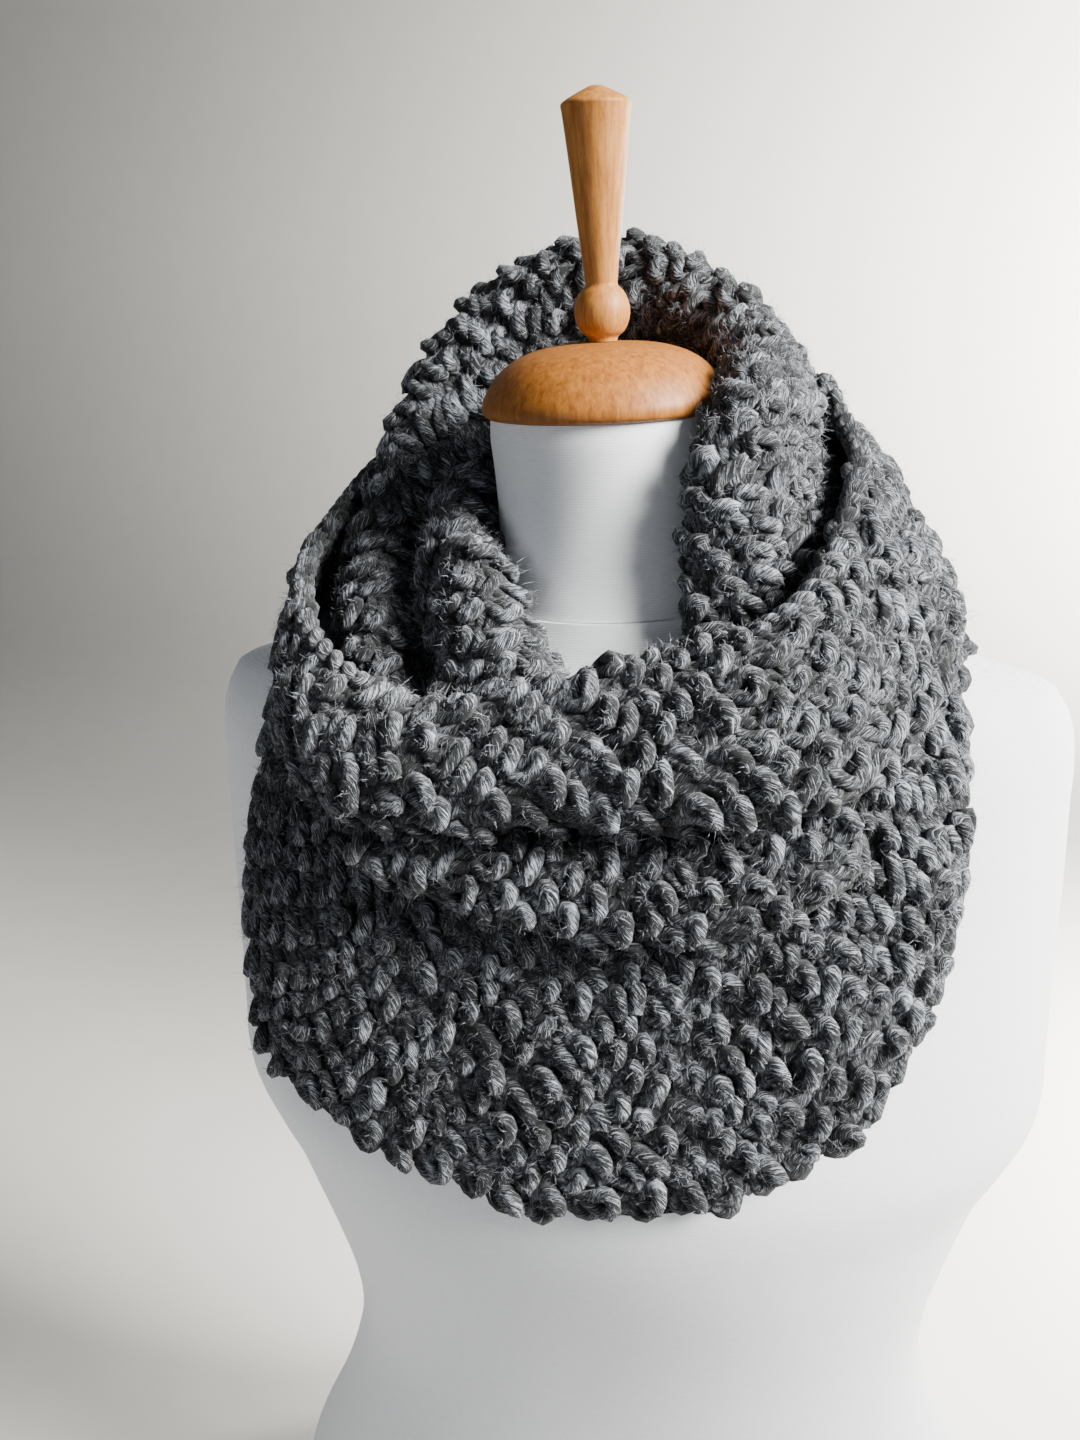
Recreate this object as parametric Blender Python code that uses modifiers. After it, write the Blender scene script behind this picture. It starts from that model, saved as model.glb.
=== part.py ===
"""A chunky knitted infinity scarf, wound twice about the neck of a limbless dress form.

Metres, +Z up.  The origin is the middle of the form's flat underside.  The form faces -Y and its left
shoulder is at +X.  Each stretch of the scarf is a sheet that runs round the neck.  Its table has a row for
each section: the azimuth, and the distance from the neck's axis and the height of the lines that run along
the cloth.  Azimuth 0 is the front (-Y), 90 the form's left side (+X), 180 the back and 270 its right side.
"""

import math
from collections import namedtuple

import bpy
import numpy as np
from mathutils import Vector
from mathutils.bvhtree import BVHTree

MM = 0.001

# Driving dimensions, in metres.
CLOTH = 0.009                # thickness of the bulky seed stitch
SEAM_GAP = 0.0003            # between pieces that meet
REST_GAP = 0.0009            # between a sheet and what it lies on
NESTLED_GAP = 0.0003         # the same, for a small sheet held between larger ones
CAP_Z = 0.718                # underside of the wooden neck cap
CAP_HEIGHT = 0.030

FOLD_DROP = 0.45             # a fold's sides lie this share of its width below its crest

# Finishes: base colour and roughness.
YARN = ((0.13, 0.13, 0.14), 0.95)
JERSEY = ((0.62, 0.64, 0.67), 0.8)
BEECH = ((0.55, 0.32, 0.14), 0.4)

# Fineness of the meshes: sides of the round pieces, and points of each sheet along it and across it.
TORSO_SIDES = 56
TURNED_SIDES = 32
FINIAL_SIDES = 24
MERGE = 0.0001
BIB_GRID = (68, 13)
UPPER_GRID = (66, 13)
MIDDLE_GRID = (20, 6)
HOOD_GRID = (46, 14)
STRIP_GRID = (18, 8)
FINE = 60                    # points read along a section before it is divided evenly
SHARP = math.radians(40)     # edges sharper than this are drawn as edges

# How a sheet settles on what carries it.
SIDE_ON = 0.7                # a point this square to a sheet lies on its face, not past its edge
SETTLING = 14                # rounds of moving clear
FREE = 4                     # the last rounds, without easing
EASE = 0.6                   # share of each move that is taken from its neighbours'

# The torso: a row for each level, in millimetres.  A squareness of 2 is an ellipse.
Level = namedtuple("Level", "z half_width front back squareness")
TORSO = (
    Level(0, 212, 126, 132, 2.3),
    Level(70, 208, 125, 130, 2.3),
    Level(115, 197, 121, 122, 2.3),
    Level(150, 180, 114, 110, 2.25),
    Level(185, 166, 108, 98, 2.2),
    Level(225, 156, 103, 90, 2.2),
    Level(265, 157, 106, 88, 2.2),
    Level(305, 166, 114, 92, 2.2),
    Level(335, 175, 123, 96, 2.15),
    Level(360, 184, 130, 98, 2.1),
    Level(378, 194, 133, 100, 2.1),
    Level(395, 202, 134, 101, 2.1),
    Level(430, 204, 130, 102, 2.05),
    Level(470, 204, 119, 102, 2.05),
    Level(510, 205, 105, 99, 2.05),
    Level(550, 205, 91, 92, 2.1),
    Level(573, 205, 81, 84, 2.1),
    Level(590, 201, 73, 77, 2.0),
    Level(602, 190, 66, 70, 1.85),
    Level(609, 166, 61, 65, 1.8),
    Level(615, 128, 58, 61, 1.8),
    Level(624, 86, 55, 58, 1.9),
    Level(634.7, 60, 53, 56, 2.0),
)

# The neck's cover, in millimetres.
NECK = (
    Level(635, 57, 51, 54, 2.0),
    Level(650, 52.5, 47.5, 51, 2.0),
    Level(670, 50, 46.5, 50, 2.0),
    Level(695, 50.5, 48.5, 50.5, 2.0),
    Level(710, 51.5, 50.5, 51, 2.0),
    Level(717.7, 51, 50.5, 50.5, 2.0),
)

# Turned outlines, top to bottom, in millimetres above the piece's foot.
Turned = namedtuple("Turned", "radius height")
CAP = (
    Turned(8, 30),
    Turned(18, 29.5),
    Turned(29, 27.6),
    Turned(39, 23.8),
    Turned(47, 17.8),
    Turned(52.5, 10),
    Turned(54.5, 5),
    Turned(54, 1.6),
    Turned(52, 0),
)
FINIAL = (
    Turned(2.5, 101.3),
    Turned(8.5, 98.6),
    Turned(14.4, 95.2),
    Turned(14.9, 94.2),
    Turned(14.6, 92.5),
    Turned(12.2, 72),
    Turned(9.8, 50),
    Turned(7.9, 34),
    Turned(7.1, 25.5),
    Turned(7.0, 23.6),
    Turned(9.4, 20.9),
    Turned(11.4, 17.0),
    Turned(12.1, 12.6),
    Turned(11.4, 8.2),
    Turned(9.4, 4.3),
    Turned(6.6, 1.9),
    Turned(6.2, 0.3),
)

# Sheets of the scarf that run level round the neck: for each azimuth, the radii (r) and heights (z) of the
# lines that run along the middle of the cloth, from its upper edge to its lower one, in millimetres.
Bib = namedtuple("Bib", "azimuth top_r top_z slope_r slope_z side_r side_z hang_r hang_z hem_r hem_z")
BIB = (
    Bib(0, 98, 574, 108, 548, 120, 508, 133, 462, 143, 408),
    Bib(20, 99, 576, 111, 550, 125, 509, 138, 462, 148, 409),
    Bib(38, 108, 579, 122, 557, 139, 520, 153, 475, 161, 429),
    Bib(52, 116, 591, 130, 579, 151, 549, 166, 511, 173, 466),
    Bib(63, 120, 607, 134, 600, 154, 583, 170, 560, 177, 530),
    Bib(74, 120, 618, 130, 615, 143, 611, 155, 606, 163, 600),
    Bib(90, 118, 623, 127, 621, 136, 619.5, 145, 618, 153, 616.5),
    Bib(110, 112, 620, 120, 617, 129, 613.5, 138, 609, 145, 603.5),
    Bib(140, 104, 611, 110, 597, 115, 579, 119, 558, 121, 533),
    Bib(180, 98, 606, 102, 587, 106, 566, 108, 542, 109, 516),
    Bib(220, 104, 611, 110, 597, 115, 579, 119, 558, 121, 533),
    Bib(250, 114, 620, 123, 616, 133, 611.5, 143, 606, 149, 601),
    Bib(270, 120, 624, 128, 622, 136, 620.5, 144, 619, 151, 617.5),
    Bib(281, 122, 621, 130, 618, 139, 615, 147, 612, 154, 609),
    Bib(288, 121, 618, 130, 614, 140, 609, 149, 603, 156, 595),
    Bib(293, 120, 611, 131, 604, 144, 594, 156, 579, 164, 560),
    Bib(298, 118, 603, 134, 590, 154, 561, 170, 523, 177, 480),
    Bib(305, 115, 593, 132, 577, 153, 543, 170, 498, 177, 443),
    Bib(318, 106, 581, 121, 560, 141, 523, 158, 477, 167, 426),
    Bib(338, 98, 576, 110, 550, 124, 510, 139, 464, 150, 414),
)

Swag = namedtuple("Swag", "azimuth lip_r lip_z brow_r brow_z roll_r roll_z front_r front_z low_r low_z "
                          "tuck_r tuck_z")
UPPER = (
    Swag(0, 84, 606, 92, 619, 108, 617, 123, 600, 129, 579, 119, 570),
    Swag(22, 80, 613, 92, 627, 114, 622, 129, 601, 135, 580, 124, 571),
    Swag(40, 96, 628, 107, 636, 129, 629, 145, 606, 152, 583, 140, 575),
    Swag(53, 112, 644, 119, 644, 139, 631, 152, 609, 158, 588, 147, 580),
    Swag(66, 113, 660, 121, 655, 139, 638, 151, 618, 156, 603, 146, 598),
    Swag(78, 111, 680, 119, 673, 134, 655, 147, 636, 154, 619, 145, 615),
    Swag(90, 110, 694, 117, 686, 130, 666, 144, 645, 151, 631, 142, 628),
    Swag(105, 106, 705, 114, 696, 127, 675, 139, 652, 146, 633, 137, 630),
    Swag(130, 99, 729, 105, 719, 116, 696, 124, 664, 131, 633, 123, 625),
    Swag(180, 108, 733, 112, 721, 117, 695, 120, 659, 122, 622, 115, 613),
    Swag(230, 119, 717, 123, 706, 129, 684, 135, 657, 139, 631, 131, 623),
    Swag(255, 130, 686, 134, 677, 139, 661, 143, 647, 147, 634, 139, 629),
    Swag(270, 134, 669, 138, 661, 143, 648, 147, 638, 150, 629, 142, 627),
    Swag(284, 139, 655, 143, 648, 147, 636, 150, 623, 150, 612, 143, 609),
    Swag(296, 139, 642, 143, 636, 148, 623, 151, 609, 151, 597, 143, 594),
    Swag(308, 137, 630, 142, 626, 149, 613, 152, 599, 152, 585, 144, 579),
    Swag(318, 128, 617, 136, 617, 148, 607, 153, 593, 154, 578, 145, 572),
    Swag(329, 108, 604, 117, 610, 135, 605, 146, 589, 149, 574, 140, 567),
    Swag(343, 94, 602, 102, 611, 118, 608, 132, 592, 138, 574, 128, 566),
)

Middle = namedtuple("Middle", "azimuth top_r top_z front_r front_z low_r low_z tuck_r tuck_z")
MIDDLE = (
    Middle(-36, 126, 562, 144, 558, 150, 550, 144, 545),
    Middle(-20, 114, 560, 130, 554, 134, 542, 126, 535),
    Middle(0, 108, 560, 124, 550, 127, 533, 118, 525),
    Middle(20, 112, 560, 130, 551, 134, 532, 124, 524),
    Middle(38, 126, 566, 147, 557, 151, 539, 141, 531),
    Middle(50, 140, 574, 158, 568, 161, 556, 153, 549),
)

# Sheets folded over like a tent: for each section, where the crest of the fold runs, how wide the fold is,
# and where its inner and outer legs end (azimuth in degrees, radius and height in millimetres).
Fold = namedtuple("Fold", "azimuth r z width inner_azimuth inner_r inner_z outer_azimuth outer_r outer_z")
HOOD = (
    Fold(39, 82, 610, 24, 54, 66, 622, 58, 92, 606),
    Fold(43, 73, 634, 27, 58, 61, 641, 68, 97, 630),
    Fold(45, 69, 660, 28, 61, 61, 662, 76, 100, 650),
    Fold(48, 68, 690, 28, 64, 61, 686, 84, 101, 664),
    Fold(55, 67, 716, 27, 70, 61, 702, 92, 100, 668),
    Fold(68, 67, 732, 26, 78, 62, 710, 99, 99, 664),
    Fold(90, 68, 742, 26, 94, 62, 714, 107, 98, 654),
    Fold(120, 69, 754, 27, 120, 62, 716, 124, 96, 640),
    Fold(150, 72, 774, 29, 150, 64, 718, 150, 93, 632),
    Fold(180, 77, 790, 30, 180, 66, 718, 180, 93, 630),
    Fold(205, 85, 789, 32, 205, 68, 714, 205, 98, 628),
    Fold(225, 94, 776, 34, 224, 72, 706, 224, 104, 628),
    Fold(240, 101, 753, 34, 237, 77, 692, 237, 108, 628),
    Fold(252, 106, 724, 34, 245, 80, 674, 244, 110, 630),
    Fold(262, 108, 696, 34, 254, 82, 656, 252, 112, 632),
    Fold(273, 108, 669, 33, 264, 84, 644, 261, 113, 634),
    Fold(293, 105, 650, 31, 279, 86, 638, 276, 111, 632),
    Fold(302, 106, 634, 30, 291, 87, 628, 289, 111, 622),
    Fold(310, 108, 620, 28, 301, 88, 616, 299, 111, 610),
    Fold(317, 110, 606, 26, 309, 92, 602, 307, 112, 598),
)
STRIP = (
    Fold(262, 66, 690, 20, 260, 58, 672, 256, 74, 672),
    Fold(283, 67, 685, 20, 281, 57, 666, 276, 81, 654),
    Fold(303, 67, 677, 20, 300, 57, 657, 293, 83, 643),
    Fold(318, 68, 667, 21, 314, 57, 647, 303, 89, 624),
    Fold(331, 70, 654, 24, 327, 58, 636, 308, 95, 607),
    Fold(343, 73, 640, 26, 339, 60, 624, 316, 97, 602),
    Fold(352, 75, 626, 23, 350, 64, 612, 330, 98, 602),
    Fold(360, 80, 612, 22, 359, 70, 602, 340, 102, 592),
)


def spline(knots, values, targets, period=None):
    """Reads a smooth curve through the values at the knots."""
    knots = np.asarray(knots, float)
    values = np.asarray(values, float)
    if period:
        knots = np.concatenate([knots[-2:] - period, knots, knots[:2] + period])
        values = np.concatenate([values[-2:], values, values[:2]])
    slopes = np.gradient(values, knots, axis=0)
    index = np.clip(np.searchsorted(knots, targets, side="right") - 1, 0, len(knots) - 2)
    width = (knots[index + 1] - knots[index])[:, None]
    t = (targets - knots[index])[:, None] / width
    return (values[index] * (1 + 2 * t) * (1 - t) ** 2 + slopes[index] * width * t * (1 - t) ** 2
            + values[index + 1] * t * t * (3 - 2 * t) - slopes[index + 1] * width * t * t * (1 - t))


def spaced(points, count):
    """Divides a smooth line through the points into equal steps."""
    chords = np.sqrt(np.linalg.norm(np.diff(points, axis=0), axis=1))
    knots = np.concatenate([[0], np.cumsum(chords)])
    fine = spline(knots, points, np.linspace(0, knots[-1], FINE))
    along = np.concatenate([[0], np.cumsum(np.linalg.norm(np.diff(fine, axis=0), axis=1))])
    even = np.linspace(0, along[-1], count + 1)
    return np.stack([np.interp(even, along, fine[:, axis]) for axis in range(fine.shape[1])], axis=1)


def place(azimuth, radius, height):
    """The point at an azimuth, a distance from the neck's axis and a height."""
    return np.array((radius * math.sin(azimuth), -radius * math.cos(azimuth), height))


def spot(degrees, radius, height):
    """The point that a table gives in degrees and millimetres."""
    return place(math.radians(degrees), radius * MM, height * MM)


def level_grid(rows, around, across, closed):
    """The middle of a level sheet: a grid of points, round the neck by across the cloth."""
    azimuths = np.array([row.azimuth for row in rows], float)
    lines = np.array([row[1:] for row in rows], float) * MM
    if closed:
        targets = azimuths[0] + np.arange(around) * 360 / around
        sections = spline(azimuths, lines, targets, period=360)
    else:
        targets = np.linspace(azimuths[0], azimuths[-1], around)
        sections = spline(azimuths, lines, targets)
    grid = []
    for azimuth, section in zip(np.radians(targets), sections):
        line = spaced(section.reshape(-1, 2), across)
        grid.append([place(azimuth, radius, height) for radius, height in line])
    return np.array(grid)


def folded_grid(rows, around, across):
    """The middle of a folded sheet: a grid of points, along the fold's crest by across the cloth."""
    crests = np.array([spot(row.azimuth, row.r, row.z) for row in rows])
    inner = np.array([spot(row.inner_azimuth, row.inner_r, row.inner_z) for row in rows])
    outer = np.array([spot(row.outer_azimuth, row.outer_r, row.outer_z) for row in rows])
    widths = np.array([row.width for row in rows]) * MM
    knots = np.concatenate([[0], np.cumsum(np.linalg.norm(np.diff(crests, axis=0), axis=1))])
    tangents = np.gradient(crests, knots, axis=0)
    sections = []
    for crest, tangent, width, foot, far_foot in zip(crests, tangents, widths, inner, outer):
        tangent = tangent / np.linalg.norm(tangent)
        outward = crest * (1, 1, 0)
        outward = outward - tangent * outward.dot(tangent)
        outward = outward / np.linalg.norm(outward)
        upward = np.cross(outward, tangent)
        side = outward * width / 2
        drop = upward * width * FOLD_DROP
        sections.append((foot, crest - side - drop, crest, crest + side - drop, far_foot))
    sections = np.array(sections)
    stations = np.linspace(0, knots[-1], around)
    sections = spline(knots, sections.reshape(len(rows), -1), stations).reshape(around, -1, 3)
    return np.array([spaced(section, across) for section in sections])


def grid_faces(around, columns, closed):
    """Quads of a grid, facing away from the neck."""
    faces = []
    for i in range(around if closed else around - 1):
        after = (i + 1) % around
        for j in range(columns - 1):
            faces.append((i * columns + j, i * columns + j + 1, after * columns + j + 1, after * columns + j))
    return faces


def carrier(points, faces, touch, solid=False):
    """What a sheet rests on: its surface, how far off a sheet's middle touches it, and if it is filled."""
    tree = BVHTree.FromPolygons([Vector(point) for point in points], faces)
    return tree, touch, solid


def push(point, carriers, gap):
    """How far a point has to move to lie clear of what carries it."""
    move = Vector((0, 0, 0))
    for tree, touch, solid in carriers:
        clearance = touch + gap
        moved = Vector(point) + move
        nearest, normal, _, distance = tree.find_nearest(moved)
        side = (moved - nearest).dot(normal)
        sunk = side < -SIDE_ON * distance
        if (solid and sunk) or distance < clearance:
            away = normal if sunk or distance < SEAM_GAP else (moved - nearest).normalized()
            move += nearest + away * clearance - moved
    return np.array(move)


def neighbours_mean(field, closed):
    """The mean of a grid's values with their neighbours'."""
    before, after = (field[-1:], field[:1]) if closed else (field[:1], field[-1:])
    padded = np.concatenate([before, field, after])
    along = (padded[:-2] + padded[2:]) / 2
    wide = np.concatenate([field[:, :1], field, field[:, -1:]], axis=1)
    across = (wide[:, :-2] + wide[:, 2:]) / 2
    return (along + across) / 2


def settle(grid, faces, carriers, gap, closed):
    """Lays a sheet on its carriers: its points, edges and faces come clear of them."""
    start = grid.copy()
    shape = grid.shape
    for step in range(SETTLING):
        flat = grid.reshape(-1, 3)
        moves = np.array([push(point, carriers, gap) for point in flat])
        for first, second, third, fourth in faces:
            for corners in ([first, second, third, fourth], [first, second], [second, third]):
                move = push(flat[corners].mean(axis=0), carriers, gap)
                for corner in corners:
                    if np.linalg.norm(move) > np.linalg.norm(moves[corner]):
                        moves[corner] = move
        grid = (flat + moves).reshape(shape)
        if step < SETTLING - FREE:
            offset = grid - start
            grid = start + (1 - EASE) * offset + EASE * neighbours_mean(offset, closed)
    return grid


def link(name, mesh, collection, finish):
    """Adds a mesh to the collection as a named object with its own material."""
    color, roughness = finish
    material = bpy.data.materials.new(name + "_finish")
    material.use_nodes = True
    shader = material.node_tree.nodes["Principled BSDF"]
    shader.inputs["Base Color"].default_value = (*color, 1)
    shader.inputs["Roughness"].default_value = roughness
    shader.inputs["Metallic"].default_value = 0
    material.diffuse_color = (*color, 1)
    mesh.materials.append(material)
    mesh.shade_smooth()
    mesh.set_sharp_from_angle(angle=SHARP)
    piece = bpy.data.objects.new(name, mesh)
    collection.objects.link(piece)
    return piece


def form_section(level, sides):
    """The points of a rounded section of the form, counterclockwise from its left side."""
    points = []
    for step in range(sides):
        angle = 2 * math.pi * step / sides
        across = math.cos(angle)
        depth = math.sin(angle)
        power = 2 / level.squareness
        half_depth = level.back if depth > 0 else level.front
        points.append((MM * level.half_width * math.copysign(abs(across) ** power, across),
                       MM * half_depth * math.copysign(abs(depth) ** power, depth),
                       MM * level.z))
    return points


def form_shape(levels, sides):
    """Points and faces of a closed body through horizontal sections, flat at both ends."""
    points = [point for level in levels for point in form_section(level, sides)]
    faces = []
    for row in range(len(levels) - 1):
        for step in range(sides):
            after = (step + 1) % sides
            faces.append((row * sides + step, row * sides + after,
                          (row + 1) * sides + after, (row + 1) * sides + step))
    faces.append(tuple(reversed(range(sides))))
    top = (len(levels) - 1) * sides
    faces.append(tuple(range(top, top + sides)))
    return points, faces


def form_carrier(levels, sides):
    """A filled body that a sheet may rest on."""
    return carrier(*form_shape(levels, sides), CLOTH / 2, solid=True)


def form_piece(name, levels, sides, collection, finish):
    """A closed piece of the form through horizontal sections."""
    mesh = bpy.data.meshes.new(name)
    points, faces = form_shape(levels, sides)
    mesh.from_pydata(points, [], faces)
    link(name, mesh, collection, finish)
    return form_carrier(levels, sides)


def turned_piece(name, outline, foot_z, sides, collection, finish):
    """A piece turned on a lathe: its outline, closed on the axis, spun by a Screw."""
    outline = [(0, outline[0].height), *outline, (0, outline[-1].height)]
    mesh = bpy.data.meshes.new(name)
    mesh.from_pydata([(radius * MM, 0, height * MM) for radius, height in outline],
                     [(i, i + 1) for i in range(len(outline) - 1)], [])
    piece = link(name, mesh, collection, finish)
    piece.location.z = foot_z
    screw = piece.modifiers.new("turn", "SCREW")
    screw.axis = "Z"
    screw.steps = sides
    screw.render_steps = sides
    screw.use_merge_vertices = True
    screw.merge_threshold = MERGE
    screw.use_smooth_shade = True
    rings = [Level(foot_z / MM + height, radius, radius, radius, 2)
             for radius, height in reversed(outline[1:-1])]
    return form_carrier(rings, sides)


def scarf_stretch(name, grid, closed, carriers, gap, collection):
    """One stretch of the scarf: a settled sheet with the cloth's thickness."""
    faces = grid_faces(grid.shape[0], grid.shape[1], closed)
    grid = settle(grid, faces, carriers, gap, closed)
    points = grid.reshape(-1, 3)
    mesh = bpy.data.meshes.new(name)
    mesh.from_pydata(points.tolist(), [], faces)
    piece = link(name, mesh, collection, YARN)
    wall = piece.modifiers.new("cloth", "SOLIDIFY")
    wall.thickness = CLOTH
    wall.offset = 0
    return carrier(points, faces, CLOTH)


def main():
    for leftover in list(bpy.data.objects):
        bpy.data.objects.remove(leftover)
    parts = bpy.data.collections.new("infinity_scarf_on_form")
    bpy.context.scene.collection.children.link(parts)

    torso = form_piece("form_torso", TORSO, TORSO_SIDES, parts, JERSEY)
    neck = form_piece("form_neck", NECK, TURNED_SIDES, parts, JERSEY)
    cap = turned_piece("neck_cap", CAP, CAP_Z, TURNED_SIDES, parts, BEECH)
    turned_piece("finial", FINIAL, CAP_Z + CAP_HEIGHT, FINIAL_SIDES, parts, BEECH)

    grid = level_grid(BIB, *BIB_GRID, True)
    bib = scarf_stretch("scarf_bib", grid, True, [torso, neck], REST_GAP, parts)
    grid = folded_grid(HOOD, *HOOD_GRID)
    hood = scarf_stretch("scarf_hood", grid, False, [torso, neck, cap, bib], REST_GAP, parts)
    grid = folded_grid(STRIP, *STRIP_GRID)
    carriers = [torso, neck, bib, hood]
    strip = scarf_stretch("scarf_left_strip", grid, False, carriers, NESTLED_GAP, parts)
    grid = level_grid(MIDDLE, *MIDDLE_GRID, False)
    middle = scarf_stretch("scarf_middle_swag", grid, False, [torso, bib], NESTLED_GAP, parts)
    grid = level_grid(UPPER, *UPPER_GRID, True)
    carriers = [torso, bib, hood, strip, middle]
    scarf_stretch("scarf_upper_swag", grid, True, carriers, REST_GAP, parts)


main()
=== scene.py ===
"""A chunky seed-stitch infinity scarf, wound twice round the neck of a limbless dress form.

The scarf is knitted here stitch by stitch: each stretch of cloth settles on what carries it, as its solid
does, and one bulky yarn runs across it course by course, over a thin ground that closes the fabric, painted
dark as the shade between the stitches.
Metres, +Z up.  The form faces -Y and stands with the middle of its flat underside at the origin.
"""

import logging
import math
from collections import namedtuple
from dataclasses import dataclass, field
from enum import Enum
from typing import Any, Sequence

import bmesh
import bpy
import numpy as np
from mathutils import Matrix, Vector
from mathutils.bvhtree import BVHTree


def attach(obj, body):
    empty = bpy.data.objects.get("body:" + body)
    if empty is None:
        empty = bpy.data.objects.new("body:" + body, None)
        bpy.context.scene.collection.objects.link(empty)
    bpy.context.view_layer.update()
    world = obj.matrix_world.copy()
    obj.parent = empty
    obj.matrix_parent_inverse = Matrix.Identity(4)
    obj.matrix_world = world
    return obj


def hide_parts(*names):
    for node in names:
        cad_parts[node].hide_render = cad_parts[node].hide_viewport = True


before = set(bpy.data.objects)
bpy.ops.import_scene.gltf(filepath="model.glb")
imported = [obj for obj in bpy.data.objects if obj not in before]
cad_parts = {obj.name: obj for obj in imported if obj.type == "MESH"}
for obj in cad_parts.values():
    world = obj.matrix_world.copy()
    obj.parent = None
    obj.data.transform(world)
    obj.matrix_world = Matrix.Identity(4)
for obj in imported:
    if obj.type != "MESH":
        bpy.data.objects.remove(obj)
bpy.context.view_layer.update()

log = logging.getLogger("infinity_scarf")

MM = 0.001

# The cloth's build, in metres, as the solids have it.
CLOTH = 0.009                # thickness of the bulky seed stitch
SEAM_GAP = 0.0003            # between pieces that meet
REST_GAP = 0.0009            # between a sheet and what it lies on
NESTLED_GAP = 0.0003         # the same, for a small sheet held between larger ones
CAP_Z = 0.718                # underside of the wooden neck cap
CAP_HEIGHT = 0.030
FOLD_DROP = 0.45             # a fold's sides lie this share of its width below its crest
FINE = 60                    # points read along a section before it is divided evenly
SIDE_ON = 0.7                # a point this square to a sheet lies on its face, not past its edge
SETTLING = 14                # rounds of moving clear
FREE = 4                     # the last rounds, without easing
EASE = 0.6                   # share of each move that is taken from its neighbours'
TORSO_SIDES = 56
TURNED_SIDES = 32

# The knit, in metres: one stitch is STITCH wide across the cloth and COURSE high along the loop.
STITCH = 0.0098
COURSE = 0.0086
YARN_RADIUS = 0.0034
FRONT_TURNS = (-180, -128, -92, -66, -42, -18, 14, 38, 60, 84, 112, 145)   # readings of a knit loop
BACK_TURNS = (-180, -130, -85, -50, -12, 30, 70, 115)                     # readings of a purl loop
SIDES = 6                    # sides of the yarn
FLATNESS = 0.9               # the yarn's depth out of the cloth, as a share of its width
PIECE_LIMIT = 190000         # triangles in one piece of yarn

# Broad waves that pull the cloth out of square, in metres: how far apart they run across the cloth, and how
# far they pull it.  A wave of the first kind is WAVE_LENGTH long along the loop.
Wave = namedtuple("Wave", "span pull")
WAVES = (Wave(0.11, 0.0022), Wave(0.047, 0.0013), Wave(-0.19, 0.0024))
WAVE_LENGTH = 0.06

# Nearly all the values of a noise texture lie between these.
NOISE_LOW = 0.3
NOISE_HIGH = 0.7

# Sections of the form: height, half width, depth to the front and to the back (mm), squareness (2: ellipse).
Level = namedtuple("Level", "z half_width front back squareness")
TORSO = (
    Level(0, 212, 126, 132, 2.3),
    Level(70, 208, 125, 130, 2.3),
    Level(115, 197, 121, 122, 2.3),
    Level(150, 180, 114, 110, 2.25),
    Level(185, 166, 108, 98, 2.2),
    Level(225, 156, 103, 90, 2.2),
    Level(265, 157, 106, 88, 2.2),
    Level(305, 166, 114, 92, 2.2),
    Level(335, 175, 123, 96, 2.15),
    Level(360, 184, 130, 98, 2.1),
    Level(378, 194, 133, 100, 2.1),
    Level(395, 202, 134, 101, 2.1),
    Level(430, 204, 130, 102, 2.05),
    Level(470, 204, 119, 102, 2.05),
    Level(510, 205, 105, 99, 2.05),
    Level(550, 205, 91, 92, 2.1),
    Level(573, 205, 81, 84, 2.1),
    Level(590, 201, 73, 77, 2.0),
    Level(602, 190, 66, 70, 1.85),
    Level(609, 166, 61, 65, 1.8),
    Level(615, 128, 58, 61, 1.8),
    Level(624, 86, 55, 58, 1.9),
    Level(634.7, 60, 53, 56, 2.0),
)
NECK = (
    Level(635, 57, 51, 54, 2.0),
    Level(650, 52.5, 47.5, 51, 2.0),
    Level(670, 50, 46.5, 50, 2.0),
    Level(695, 50.5, 48.5, 50.5, 2.0),
    Level(710, 51.5, 50.5, 51, 2.0),
    Level(717.7, 51, 50.5, 50.5, 2.0),
)

# Turned outlines, top to bottom, in millimetres above the piece's foot.
Turned = namedtuple("Turned", "radius height")
CAP = (
    Turned(8, 30),
    Turned(18, 29.5),
    Turned(29, 27.6),
    Turned(39, 23.8),
    Turned(47, 17.8),
    Turned(52.5, 10),
    Turned(54.5, 5),
    Turned(54, 1.6),
    Turned(52, 0),
)
FINIAL = (
    Turned(2.5, 101.3),
    Turned(8.5, 98.6),
    Turned(14.4, 95.2),
    Turned(14.9, 94.2),
    Turned(14.6, 92.5),
    Turned(12.2, 72),
    Turned(9.8, 50),
    Turned(7.9, 34),
    Turned(7.1, 25.5),
    Turned(7.0, 23.6),
    Turned(9.4, 20.9),
    Turned(11.4, 17.0),
    Turned(12.1, 12.6),
    Turned(11.4, 8.2),
    Turned(9.4, 4.3),
    Turned(6.6, 1.9),
    Turned(6.2, 0.3),
)

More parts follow.
